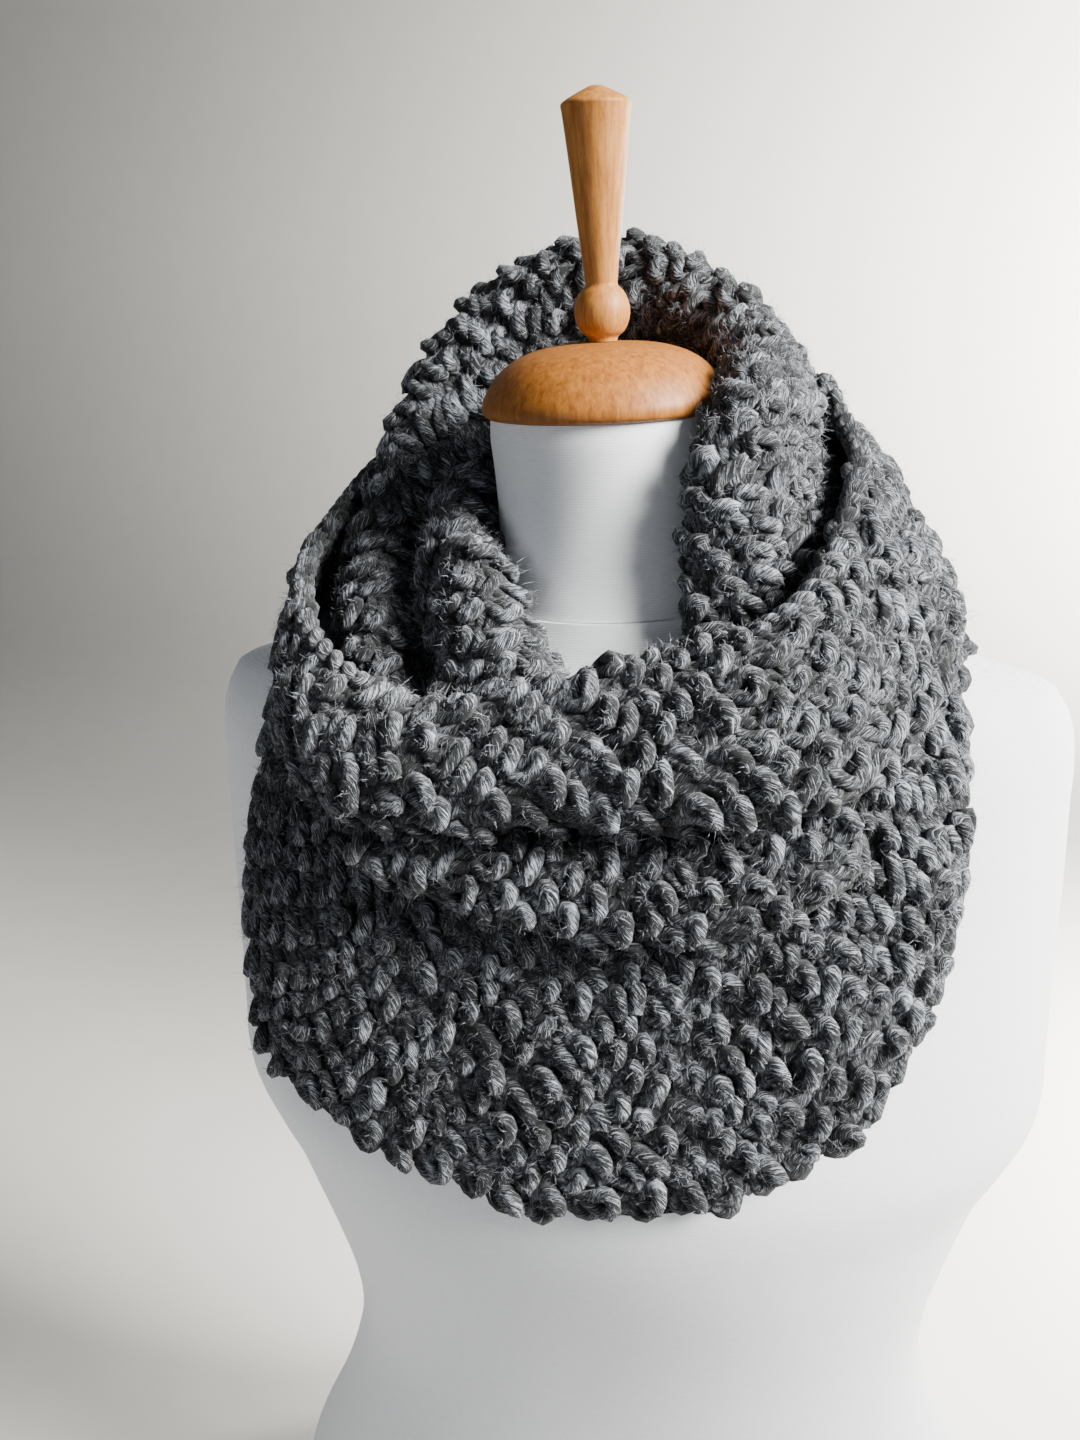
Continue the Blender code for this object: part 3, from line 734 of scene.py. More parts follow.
def grid_faces(around: int, columns: int, closed: bool) -> list[tuple[int, int, int, int]]:
    """Quads of a grid, facing away from the neck.

    Args:
        around: how many sections the grid has.
        columns: how many points each section has.
        closed: whether the last section joins the first.

    Returns:
        The quads, as point numbers.
    """
    faces = []
    for i in range(around if closed else around - 1):
        after = (i + 1) % around
        for j in range(columns - 1):
            faces.append((i * columns + j, i * columns + j + 1, after * columns + j + 1, after * columns + j))
    return faces


def carrier(points: Sequence, faces: Sequence, touch: float, solid: bool = False) -> Carrier:
    """What a sheet rests on: its surface, how far off a sheet's middle touches it, and if it is filled."""
    tree = BVHTree.FromPolygons([Vector(point) for point in points], faces)
    return tree, touch, solid


def push(point: np.ndarray, carriers: Sequence[Carrier], gap: float) -> np.ndarray:
    """How far a point has to move to lie clear of what carries it.

    Args:
        point: the point of the cloth's middle.
        carriers: what may carry it.
        gap: the gap that stays between the two.

    Returns:
        The move.
    """
    move = Vector((0, 0, 0))
    for tree, touch, solid in carriers:
        clearance = touch + gap
        moved = Vector(point) + move
        nearest, normal, _, distance = tree.find_nearest(moved)
        side = (moved - nearest).dot(normal)
        sunk = side < -SIDE_ON * distance
        if (solid and sunk) or distance < clearance:
            away = normal if sunk or distance < SEAM_GAP else (moved - nearest).normalized()
            move += nearest + away * clearance - moved
    return np.array(move)


def neighbours_mean(values: np.ndarray, closed: bool) -> np.ndarray:
    """The mean of the neighbours of each value of a grid.

    Args:
        values: the grid's values.
        closed: whether its last row joins its first.

    Returns:
        The means, as a grid of the same shape.
    """
    before, after = (values[-1:], values[:1]) if closed else (values[:1], values[-1:])
    padded = np.concatenate([before, values, after])
    along = (padded[:-2] + padded[2:]) / 2
    wide = np.concatenate([values[:, :1], values, values[:, -1:]], axis=1)
    across = (wide[:, :-2] + wide[:, 2:]) / 2
    return (along + across) / 2


def settle(grid: np.ndarray, faces: Sequence, carriers: Sequence[Carrier], gap: float,
           closed: bool) -> np.ndarray:
    """Lays a sheet on its carriers: its points, edges and faces come clear of them.

    Args:
        grid: the sheet's middle as its table gives it.
        faces: the grid's quads.
        carriers: what may carry the sheet.
        gap: the gap that stays between the two.
        closed: whether the sheet closes round the neck.

    Returns:
        The settled grid.
    """
    start = grid.copy()
    shape = grid.shape
    for step in range(SETTLING):
        flat = grid.reshape(-1, 3)
        moves = np.array([push(point, carriers, gap) for point in flat])
        for first, second, third, fourth in faces:
            for corners in ([first, second, third, fourth], [first, second], [second, third]):
                move = push(flat[corners].mean(axis=0), carriers, gap)
                for corner in corners:
                    if np.linalg.norm(move) > np.linalg.norm(moves[corner]):
                        moves[corner] = move
        grid = (flat + moves).reshape(shape)
        if step < SETTLING - FREE:
            offset = grid - start
            grid = start + (1 - EASE) * offset + EASE * neighbours_mean(offset, closed)
    return grid


def form_section(level: Level, sides: int) -> list[tuple[float, float, float]]:
    """The points of a rounded section of the form, counterclockwise from its left side.

    Args:
        level: the section's row.
        sides: how many points it has.

    Returns:
        The points.
    """
    points = []
    for step in range(sides):
        angle = 2 * math.pi * step / sides
        across = math.cos(angle)
        depth = math.sin(angle)
        power = 2 / level.squareness
        half_depth = level.back if depth > 0 else level.front
        points.append((MM * level.half_width * math.copysign(abs(across) ** power, across),
                       MM * half_depth * math.copysign(abs(depth) ** power, depth),
                       MM * level.z))
    return points


def form_carrier(levels: Sequence[Level], sides: int) -> Carrier:
    """A filled body through horizontal sections, which a sheet may rest on.

    Args:
        levels: the sections, from the lowest up.
        sides: how many sides the body has.

    Returns:
        The carrier.
    """
    points = [point for level in levels for point in form_section(level, sides)]
    faces: list[tuple[int, ...]] = []
    for row in range(len(levels) - 1):
        for step in range(sides):
            after = (step + 1) % sides
            faces.append((row * sides + step, row * sides + after,
                          (row + 1) * sides + after, (row + 1) * sides + step))
    top = (len(levels) - 1) * sides
    faces += [tuple(reversed(range(sides))), tuple(range(top, top + sides))]
    return carrier(points, faces, CLOTH / 2, solid=True)


def show(name: str, mesh: bpy.types.Mesh, material: bpy.types.Material) -> bpy.types.Object:
    """Puts a finished mesh in the scene, on the part's one body.

    Args:
        name: the piece's name.
        mesh: its mesh, already in place.
        material: its finish.

    Returns:
        The piece.
    """
    mesh.materials.clear()
    mesh.materials.append(material)
    mesh.shade_smooth()
    piece = bpy.data.objects.new(name, mesh)
    bpy.context.scene.collection.objects.link(piece)
    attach(piece, "root")
    return piece


def tube_mesh(name: str, path: np.ndarray, outward: np.ndarray, radii: np.ndarray,
              out: np.ndarray) -> bpy.types.Mesh:
    """Runs the yarn along a path: a closed tube, whose UV map gives length along it and turns round it.

    Its "rise" attribute says how far each point of its skin lies from the middle of the cloth; the yarn's
    material paints shade by it, darkest where the skin lies low.

    Args:
        name: the mesh's name.
        path: the points that the tube follows.
        outward: for each point, the way that the cloth faces.
        radii: the tube's radius at each point.
        out: how far each point stands out of the middle of the cloth.

    Returns:
        The mesh.
    """
    tangents = np.gradient(path, axis=0)
    tangents /= np.linalg.norm(tangents, axis=1)[:, None]
    sideways = np.cross(tangents, outward)
    sideways /= np.linalg.norm(sideways, axis=1)[:, None]
    upward = np.cross(sideways, tangents)
    angles = 2 * np.pi * np.arange(SIDES) / SIDES
    rings = (path[:, None] + radii[:, None, None]
             * (np.cos(angles)[None, :, None] * upward[:, None] * FLATNESS
                + np.sin(angles)[None, :, None] * sideways[:, None]))
    count = len(path)
    lower = np.arange(count - 1)[:, None] * SIDES + np.arange(SIDES)[None, :]
    turned = np.arange(count - 1)[:, None] * SIDES + (np.arange(SIDES)[None, :] + 1) % SIDES
    quads = np.stack([lower, lower + SIDES, turned + SIDES, turned], axis=-1).reshape(-1, 4)
    lengths = np.concatenate([[0], np.cumsum(np.linalg.norm(np.diff(path, axis=0), axis=1))])
    near = np.repeat(lengths[:-1], SIDES)
    far = np.repeat(lengths[1:], SIDES)
    turn = np.tile(np.arange(SIDES) / SIDES, count - 1)
    after = turn + 1 / SIDES
    uv = np.stack([near, turn, far, turn, far, after, near, after], axis=-1).reshape(-1, 2)
    ends = np.concatenate([np.arange(SIDES), (count - 1) * SIDES + np.arange(SIDES)[::-1]])
    end_uv = np.stack([np.repeat(lengths[[0, -1]], SIDES), np.tile(np.arange(SIDES) / SIDES, 2)], axis=-1)
    loops = np.concatenate([quads.ravel(), ends]).astype(np.int32)
    starts = np.concatenate([np.arange(len(quads)) * 4, len(quads) * 4 + np.array([0, SIDES])])
    mesh = bpy.data.meshes.new(name)
    mesh.vertices.add(count * SIDES)
    mesh.vertices.foreach_set("co", rings.astype(np.float32).ravel())
    mesh.loops.add(len(loops))
    mesh.loops.foreach_set("vertex_index", loops)
    mesh.polygons.add(len(starts))
    mesh.polygons.foreach_set("loop_start", starts.astype(np.int32))
    layer = mesh.uv_layers.new(name="yarn")
    layer.data.foreach_set("uv", np.concatenate([uv, end_uv]).astype(np.float32).ravel())
    mesh.update(calc_edges=True)
    mesh.validate()
    # The height by which the yarn's material paints shade on skin that lies low in the cloth.
    rise = mesh.attributes.new("rise", "FLOAT", "POINT")
    outer = out[:, None] + radii[:, None] * np.cos(angles)[None, :]
    rise.data.foreach_set("value", np.abs(outer).astype(np.float32).ravel())
    return mesh


@dataclass(frozen=True)
class FibreHalo:
    """The loose fibres that stand off the yarn: where they grow and how they are shaped, in metres."""

    number: int = 165             # how many grow on each span of a course
    span: float = 0.1
    lowest: float = 0.0006        # yarn that lies lower than this out of the cloth grows none
    around: float = 0.5           # how far round the yarn from its outer side they may root
    root: float = 0.85            # how deep they root, as a share of the yarn's radius
    length: float = 0.0033        # a fibre's mean length
    lengths: tuple[float, float] = (0.4, 1.6)   # the shortest and the longest, in means
    radius: float = 0.00010       # its radius at the bend
    lift: tuple[float, float] = (-0.1, 0.7)     # how far it points out of the cloth, least and most
    stray: float = 0.6            # how far it points aside
    curl: float = 0.9             # how far it turns off at the bend
    seed_step: int = 100          # from the seed of a stretch's yarn to that of its fibres


def fibre_mesh(name: str, roots: np.ndarray, outward: np.ndarray, rng: np.random.Generator,
               halo: FibreHalo) -> bpy.types.Mesh:
    """Grows short curled fibres: three-sided spindles, bent at their thickest.

    Args:
        name: the mesh's name.
        roots: where each fibre leaves the yarn.
        outward: for each root, the way that the cloth faces.
        rng: the source of their directions and lengths.
        halo: how they are shaped.

    Returns:
        The mesh.
    """
    count = len(roots)
    way = outward * rng.uniform(*halo.lift, (count, 1)) + rng.normal(0, halo.stray, (count, 3))
    way /= np.linalg.norm(way, axis=1)[:, None]
    curl = rng.normal(0, halo.curl, (count, 3))
    length = halo.length * rng.uniform(*halo.lengths, (count, 1))
    bend = roots + way * length / 2
    tip = bend + (way + curl) * length / 2
    side = np.cross(way, curl)
    side /= np.linalg.norm(side, axis=1)[:, None]
    other = np.cross(way, side)
    angles = 2 * np.pi * np.arange(3) / 3
    ring = bend[:, None] + halo.radius * (np.cos(angles)[None, :, None] * side[:, None]
                                          + np.sin(angles)[None, :, None] * other[:, None])
    points = np.concatenate([roots[:, None], ring, tip[:, None]], axis=1)
    first = (np.arange(count) * 5)[:, None, None]
    faces = first + np.array([[0, 2, 1], [0, 3, 2], [0, 1, 3], [1, 2, 4], [2, 3, 4], [3, 1, 4]])
    mesh = bpy.data.meshes.new(name)
    mesh.from_pydata(points.reshape(-1, 3).tolist(), [], faces.reshape(-1, 3).tolist())
    return mesh


class Anchor(Enum):
    """Where the stitches of each course are counted from."""

    TOP = "upper edge"
    HEM = "lower edge"
    MIDDLE = "middle of the cloth"


@dataclass
class ClothSurface:
    """The middle of a stretch of cloth, divided evenly into courses along every line of its grid."""

    grid: np.ndarray
    closed: bool
    gauge_line: float             # the percentile of the lines' lengths that keeps the yarn's gauge
    steps: int = 8                # readings of the surface in each course
    finer: int = 4                # readings across for each step of the grid
    courses: int = field(init=False)
    length: float = field(init=False)               # the mean of its lines along the loop, metres
    width: float = field(init=False)                # the mean of its lines across it, metres
    points: np.ndarray = field(init=False)          # the readings, along the loop by across the cloth
    runs: np.ndarray = field(init=False)            # how far across the cloth each of them lies
    outward: np.ndarray = field(init=False)         # the way that the cloth faces at each of them
    across_way: np.ndarray = field(init=False)      # the way down across the cloth

    def __post_init__(self) -> None:
        """Divides the grid: even courses along it, and many readings across it."""
        around, columns, _ = self.grid.shape
        across = np.linspace(0, columns - 1, (columns - 1) * self.finer + 1)
        wide = self.grid.transpose(1, 0, 2).reshape(columns, -1)
        wide = spline(np.arange(columns), wide, across).reshape(len(across), around, 3)
        flat = wide.transpose(1, 0, 2).reshape(around, -1)
        ends = around if self.closed else around - 1
        targets = np.linspace(0, ends, ends * self.steps + 1)
        period = around if self.closed else None
        fine = spline(np.arange(around), flat, targets, period).reshape(len(targets), -1, 3)
        runs = np.concatenate([np.zeros((1, fine.shape[1])),
                               np.cumsum(np.linalg.norm(np.diff(fine, axis=0), axis=2), axis=0)])
        self.length = float(runs[-1].mean())
        self.courses = 2 * round(float(np.percentile(runs[-1], self.gauge_line)) / COURSE / 2)
        even = np.linspace(0, 1, self.courses * self.steps + 1)
        self.points = np.stack([
            np.stack([np.interp(even * runs[-1, j], runs[:, j], fine[:, j, axis]) for axis in range(3)],
                     axis=1) for j in range(fine.shape[1])], axis=1)
        self.runs = np.concatenate([np.zeros((len(even), 1)), np.cumsum(
            np.linalg.norm(np.diff(self.points, axis=1), axis=2), axis=1)], axis=1)
        self.width = float(self.runs[:, -1].mean())
        if self.closed:
            along = np.gradient(np.concatenate([self.points[-2:-1], self.points, self.points[1:2]]),
                                axis=0)[1:-1]
        else:
            along = np.gradient(self.points, axis=0)
        across_way = np.gradient(self.points, axis=1)
        self.outward = np.cross(across_way, along)
        self.outward /= np.linalg.norm(self.outward, axis=2)[:, :, None]
        self.across_way = across_way / np.linalg.norm(across_way, axis=2)[:, :, None]

    def read(self, course: np.ndarray, home: np.ndarray,
             distance: np.ndarray) -> tuple[np.ndarray, np.ndarray]:
        """Reads the surface at places given in courses and in metres across.

        Args:
            course: how many courses along the loop each place lies.
            home: the course whose own widths each distance is measured on.
            distance: how far across the cloth it lies from the upper edge.

        Returns:
            The points, and the way that the cloth faces there.
        """
        rows = len(self.points) - 1
        last = self.points.shape[1] - 1
        line = np.clip(np.round(home * self.steps).astype(int), 0, rows)
        column = np.empty(len(distance))
        beyond = np.zeros(len(distance))
        for row in np.unique(line):
            here = line == row
            column[here] = np.interp(distance[here], self.runs[row], np.arange(last + 1))
            beyond[here] = (np.clip(distance[here] - self.runs[row, -1], 0, None)
                            + np.clip(distance[here], None, 0))
        station = course * self.steps
        station = station % rows if self.closed else np.clip(station, 0, rows)
        i = np.clip(np.floor(station).astype(int), 0, rows - 1)
        j = np.clip(np.floor(column).astype(int), 0, last - 1)
        s = (station - i)[:, None]
        t = (column - j)[:, None]

        def blend(values: np.ndarray) -> np.ndarray:
            """Reads a field of the surface between its four nearest readings."""
            return ((1 - s) * (1 - t) * values[i, j] + (1 - s) * t * values[i, j + 1]
                    + s * (1 - t) * values[i + 1, j] + s * t * values[i + 1, j + 1])

        facing = blend(self.outward)
        facing /= np.linalg.norm(facing, axis=1)[:, None]
        return blend(self.points) + blend(self.across_way) * beyond[:, None], facing


@dataclass(frozen=True)
class SeedStitch:
    """The shape of one seed stitch, in metres, and how much the hand varies it.

    A knit loop stands in front of the cloth, and its wide head is the bump that shows; a purl loop lies
    behind.  The yarn passes between the two at the feet.
    """

    reach: float = 0.0054         # from the middle of the course to the head of its loop
    bulge: float = 0.0028         # how far a knit loop's head is wider than its foot, on each side
    back_bulge: float = 0.0022    # the same for a purl loop
    rise: float = 0.0044          # how far a knit loop's head stands out of the middle of the cloth
    foot: float = 0.0000          # how far the feet lie behind it
    sink: float = 0.0006          # how far a purl loop's head lies behind it
    lean: float = 0.0014          # how far one shoulder of a loop is higher than the other
    edge: float = 0.0030          # how far the yarn swings out where it turns at an edge
    steepness: float = 1.6        # how soon a loop's legs go down behind its head
    unevenness: float = 0.0013    # the spread of all of these from stitch to stitch
    bulge_share: float = 0.6      # how much of that spread a head's width takes
    lean_share: float = 1.6       # how much of it the lean takes
    turn: tuple[float, ...] = (0.2, 0.5, 0.8)   # where the turn at an edge is read, in courses

    def course(self, centres: np.ndarray, signs: np.ndarray, way: int,
               rng: np.random.Generator) -> tuple[np.ndarray, np.ndarray, np.ndarray]:
        """Runs the yarn through the stitches of one course.

        Args:
            centres: the middle of each stitch, metres across the cloth.
            signs: for each stitch, one for a knit loop and minus one for a purl loop.
            way: one, or minus one where the yarn runs back up the cloth, which turns the lean about.
            rng: the source of the hand's unevenness.

        Returns:
            Along the loop, across it and out of it, for each point of the yarn, in metres.
        """
        vary = rng.normal(0, self.unevenness, (5, len(centres)))
        along, across, out = [], [], []
        for number, (centre, sign) in enumerate(zip(centres, signs)):
            turn = np.radians(FRONT_TURNS if sign > 0 else BACK_TURNS)
            head = (1 + np.cos(turn)) / 2
            high, aside, tall, wide, tilt = vary[:, number]
            bulge = (self.bulge if sign > 0 else self.back_bulge) + wide * self.bulge_share
            crest = self.rise + tall if sign > 0 else -self.sink
            along.append(-self.reach + head * (2 * self.reach + high)
                         + (self.lean * way + tilt * self.lean_share) * np.sin(turn) * head)
            across.append(centre + STITCH * turn / (2 * np.pi) + bulge * np.sin(2 * turn) + aside * head)
            out.append(-self.foot + (crest + self.foot) * head ** self.steepness)
        return np.concatenate(along), np.concatenate(across), np.concatenate(out)


@dataclass(frozen=True)
class SlippedChain:
    """The chain of two strands that slipped stitches make along an edge, in metres."""

    readings: int = 5             # points of a strand in each course
    inset: float = -0.0002        # how far the chain's middle lies in from the edge
    swing: float = 0.0021         # how far a strand swings to each side of it
    rise: float = 0.0012          # how far the chain's middle stands out of the cloth
    arch: float = 0.0026          # how far a strand arches above and below it


@dataclass
class KnittedStretch:
    """One stretch of the wound scarf: its ground cloth and the yarn that is knitted over it."""

    name: str
    grid: np.ndarray
    closed: bool
    anchor: Anchor
    gap: float
    carriers: list[Carrier]
    rests_on: tuple[str, ...]
    seed: int
    gauge_line: float = 85        # as its surface has it
    slipped: bool = False         # whether a chain of slipped stitches finishes the upper edge
    ground: float = 0.003         # thickness of the ground cloth, metres
    ground_offset: float = -0.5   # minus one: all of it lies behind the cloth's middle; one: all before it
    fewest: int = 2               # stitches in the narrowest course
    rounding: float = 0.4         # what is added to a course's number of stitches before it is cut to a whole
    slub: float = 0.08            # the spread of the yarn's radius, as a share of it
    slub_points: int = 7          # points of the yarn from one reading of that to the next
    stitch: SeedStitch = field(default_factory=SeedStitch)
    chain: SlippedChain = field(default_factory=SlippedChain)
    fluff: FibreHalo = field(default_factory=FibreHalo)
    surface: ClothSurface = field(init=False)
    path: np.ndarray = field(init=False)        # the yarn's points
    facing: np.ndarray = field(init=False)      # the way that the cloth faces at each of them
    depth: np.ndarray = field(init=False)       # how far out of the cloth's middle each of them stands

    def lay(self) -> Carrier:
        """Settles the stretch on what carries it.

        Returns:
            The stretch, as a carrier for the next one.
        """
        faces = grid_faces(self.grid.shape[0], self.grid.shape[1], self.closed)
        self.grid = settle(self.grid, faces, self.carriers, self.gap, self.closed)
        self.surface = ClothSurface(self.grid, self.closed, self.gauge_line)
        return carrier(self.grid.reshape(-1, 3), faces, CLOTH)

    def ground_cloth(self, finish: bpy.types.Material) -> bpy.types.Object:
        """Makes the ground: a thin sheet on the stretch's middle surface.

        Args:
            finish: the ground's material.

        Returns:
            The piece.
        """
        surface = self.surface
        rows = np.arange(surface.courses + (0 if self.closed else 1)) * surface.steps
        points = surface.points[rows][:, ::surface.finer]
        name = self.name + "_ground"
        mesh = bpy.data.meshes.new(name)
        mesh.from_pydata(points.reshape(-1, 3).tolist(), [],
                         grid_faces(points.shape[0], points.shape[1], self.closed))
        piece = show(name, mesh, finish)
        wall = piece.modifiers.new("cloth", "SOLIDIFY")
        wall.thickness = self.ground
        wall.offset = self.ground_offset
        return piece

    def centres(self, width: float) -> tuple[np.ndarray, np.ndarray]:
        """Places the stitches of a course.

        Args:
            width: the cloth's width at the course.

        Returns:
            The middle of each stitch, metres from the upper edge, and its number from the anchor.
        """
        if self.anchor is Anchor.MIDDLE:
            half = int(width / 2 / STITCH)
            numbers = np.arange(-half, half)
            return width / 2 + (numbers + 0.5) * STITCH, numbers
        numbers = np.arange(max(self.fewest, int(width / STITCH + self.rounding)))
        middles = (numbers + 0.5) * STITCH
        if self.anchor is Anchor.HEM:
            return (width - middles)[::-1], numbers[::-1]
        return middles, numbers

    def pulled(self, course: np.ndarray, distance: np.ndarray,
               rng: np.random.Generator) -> tuple[np.ndarray, np.ndarray]:
        """Pulls the cloth slightly out of square in broad waves, as handling does.

        Args:
            course: how many courses along the loop each point lies.
            distance: how far across the cloth it lies.
            rng: the source of the waves' phases.

        Returns:
            The same two, pulled.
        """
        share = 2 * np.pi * course / self.surface.courses
        width = 2 * np.pi * distance
        phase = rng.uniform(0, 2 * np.pi, 2 * len(WAVES))
        turns = round(self.surface.length / WAVE_LENGTH)
        for k, (count, wave) in enumerate(zip((turns, 2 * turns - 1, turns // 2), WAVES)):
            course = course + wave.pull / COURSE * np.sin(share * count + width / wave.span + phase[k])
            distance = distance + wave.pull * np.sin(share * count - width / wave.span
                                                     + phase[k + len(WAVES)])
        return course, distance

    def yarn(self, finish: bpy.types.Material) -> list[bpy.types.Object]:
        """Knits the stretch: one yarn that runs across it, course by course, and turns at each edge.

        Args:
            finish: the yarn's material.

        Returns:
            The pieces of yarn, in order along the loop.
        """
        surface = self.surface
        rng = np.random.default_rng(self.seed)
        along: list[np.ndarray] = []
        across: list[np.ndarray] = []
        out: list[np.ndarray] = []
        home: list[np.ndarray] = []
        swing = np.array(self.stitch.turn)
        for course in range(surface.courses):
            middle = course + 0.5
            width = surface.runs[round(middle * surface.steps), -1]
            places, numbers = self.centres(width)
            signs = np.where((numbers + course) % 2 == 0, 1.0, -1.0)
            way = -1 if course % 2 else 1
            u, v, w = self.stitch.course(places, signs, way, rng)
            u = np.append(u, -self.stitch.reach)
            v = np.append(v, places[-1] + STITCH / 2)
            w = np.append(w, 0.0)
            if way < 0:
                u, v, w = u[::-1], v[::-1], w[::-1]
            turn_u = -self.stitch.reach + swing * COURSE
            turn_v = v[-1] + way * self.stitch.edge * np.sin(np.pi * swing)
            along.append(np.concatenate([u, turn_u]) / COURSE + middle)
            across.append(np.concatenate([v, turn_v]))
            out.append(np.concatenate([w, np.zeros(len(swing))]))
            home.append(np.full(len(u) + len(swing), middle))
        counts = np.cumsum([len(part) for part in along])
        course_line, width_line = self.pulled(np.concatenate(along), np.concatenate(across), rng)
        point, facing = surface.read(course_line, np.concatenate(home), width_line)
        depth = np.concatenate(out)
        path = point + facing * depth[:, None]
        self.path, self.facing, self.depth = path, facing, depth
        slubs = np.arange(0, len(path) + self.slub_points, self.slub_points)
        thick = YARN_RADIUS * (1 + self.slub * np.interp(
            np.arange(len(path)), slubs, rng.normal(0, 1, len(slubs))))
        share = math.ceil(len(path) * SIDES * 2 / PIECE_LIMIT)
        cuts = [0] + [int(counts[round(surface.courses * k / share) - 1]) for k in range(1, share + 1)]
        pieces = []
        for k, (first, last) in enumerate(zip(cuts[:-1], cuts[1:]), 1):
            name = f"{self.name}_yarn_{k}"
            mesh = tube_mesh(name, path[first:last], facing[first:last], thick[first:last],
                             depth[first:last])
            pieces.append(show(name, mesh, finish))
        return pieces

    def selvedge(self, finish: bpy.types.Material) -> bpy.types.Object:
        """Slips the edge stitches: a chain of two strands along the upper edge, a link to two courses.

        Args:
            finish: the yarn's material.

        Returns:
            The piece.
        """
        surface = self.surface
        chain = self.chain
        readings = surface.courses * chain.readings + 1
        course = np.linspace(0, surface.courses, readings)
        bm = bmesh.new()
        for strand in range(2):
            phase = np.pi * (course + strand)
            point, facing = surface.read(course, course, chain.inset + chain.swing * np.sin(phase))
            depth = chain.rise + chain.arch * np.cos(phase)
            mesh = tube_mesh("strand", point + facing * depth[:, None], facing,
                             np.full(readings, YARN_RADIUS), depth)
            bm.from_mesh(mesh)
            bpy.data.meshes.remove(mesh)
        mesh = bpy.data.meshes.new(self.name + "_selvedge")
        bm.to_mesh(mesh)
        bm.free()
        return show(mesh.name, mesh, finish)

    def halo(self, finish: bpy.types.Material) -> bpy.types.Object:
        """Grows the loose fibres that stand off the yarn's outer side.

        Args:
            finish: the fibres' material.

        Returns:
            The piece.
        """
        fluff = self.fluff
        rng = np.random.default_rng(self.seed + fluff.seed_step)
        shown = np.flatnonzero(self.depth > fluff.lowest)
        count = round(fluff.number * self.surface.courses * self.surface.width / fluff.span)
        chosen = rng.choice(shown, count)
        outward = self.facing[chosen]
        offset = outward + rng.normal(0, fluff.around, (count, 3))
        offset /= np.linalg.norm(offset, axis=1)[:, None]
        roots = self.path[chosen] + offset * YARN_RADIUS * fluff.root
        name = self.name + "_fibres"
        return show(name, fibre_mesh(name, roots, outward, rng, fluff), finish)

    def dress(self, yarn: bpy.types.Material, ground: bpy.types.Material,
              fibre: bpy.types.Material) -> None:
        """Args:
            yarn: the yarn's material.
            ground: the ground's material.
            fibre: the loose fibres' material.
        """
        cloth = self.ground_cloth(ground)
        strands = self.yarn(yarn)
        if self.slipped:
            strands.append(self.selvedge(yarn))
        strands.append(self.halo(fibre))
        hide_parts(self.name)


@dataclass
class InfinityScarf:
    """The scarf, wound twice: five stretches, each resting on the ones below it."""

    yarn: WoolYarn = field(default_factory=WoolYarn)
    ground: ShadedWool = field(default_factory=ShadedWool)
    fibre: LooseFibre = field(default_factory=LooseFibre)
    bib_grid: tuple[int, int] = (68, 13)        # sections along each stretch, and steps across it
    upper_grid: tuple[int, int] = (66, 13)
    middle_grid: tuple[int, int] = (20, 6)
    hood_grid: tuple[int, int] = (46, 14)
    strip_grid: tuple[int, int] = (18, 8)

    def build(self, torso: Carrier, neck: Carrier, cap: Carrier) -> None:
        """Lays the stretches in the order that they were wound, then knits each.

        Args:
            torso: the form's torso.
            neck: its neck.
            cap: the wooden cap on the neck.
        """
        yarn = self.yarn.material()
        ground = self.ground.material()
        fibre = self.fibre.material()
        bib = KnittedStretch("scarf_bib", level_grid(BIB, *self.bib_grid, True), True, Anchor.HEM,
                             REST_GAP, [torso, neck], ("form_torso",), 11)
        bib_cloth = bib.lay()
        hood = KnittedStretch("scarf_hood", folded_grid(HOOD, *self.hood_grid), False, Anchor.MIDDLE,
                              REST_GAP, [torso, neck, cap, bib_cloth], ("scarf_bib_ground",), 12)
        hood_cloth = hood.lay()
        strip = KnittedStretch("scarf_left_strip", folded_grid(STRIP, *self.strip_grid), False,
                               Anchor.MIDDLE, NESTLED_GAP, [torso, neck, bib_cloth, hood_cloth],
                               ("scarf_bib_ground", "scarf_hood_ground"), 13)
        strip_cloth = strip.lay()
        middle = KnittedStretch("scarf_middle_swag", level_grid(MIDDLE, *self.middle_grid, False), False,
                                Anchor.TOP, NESTLED_GAP, [torso, bib_cloth], ("scarf_bib_ground",), 14)
        middle_cloth = middle.lay()
        upper = KnittedStretch("scarf_upper_swag", level_grid(UPPER, *self.upper_grid, True), True,
                               Anchor.TOP, REST_GAP,
                               [torso, bib_cloth, hood_cloth, strip_cloth, middle_cloth],
                               ("scarf_bib_ground", "scarf_middle_swag_ground"), 15, gauge_line=55,
                               slipped=True)
        upper.lay()
        for stretch in (bib, hood, strip, middle, upper):
            stretch.dress(yarn, ground, fibre)


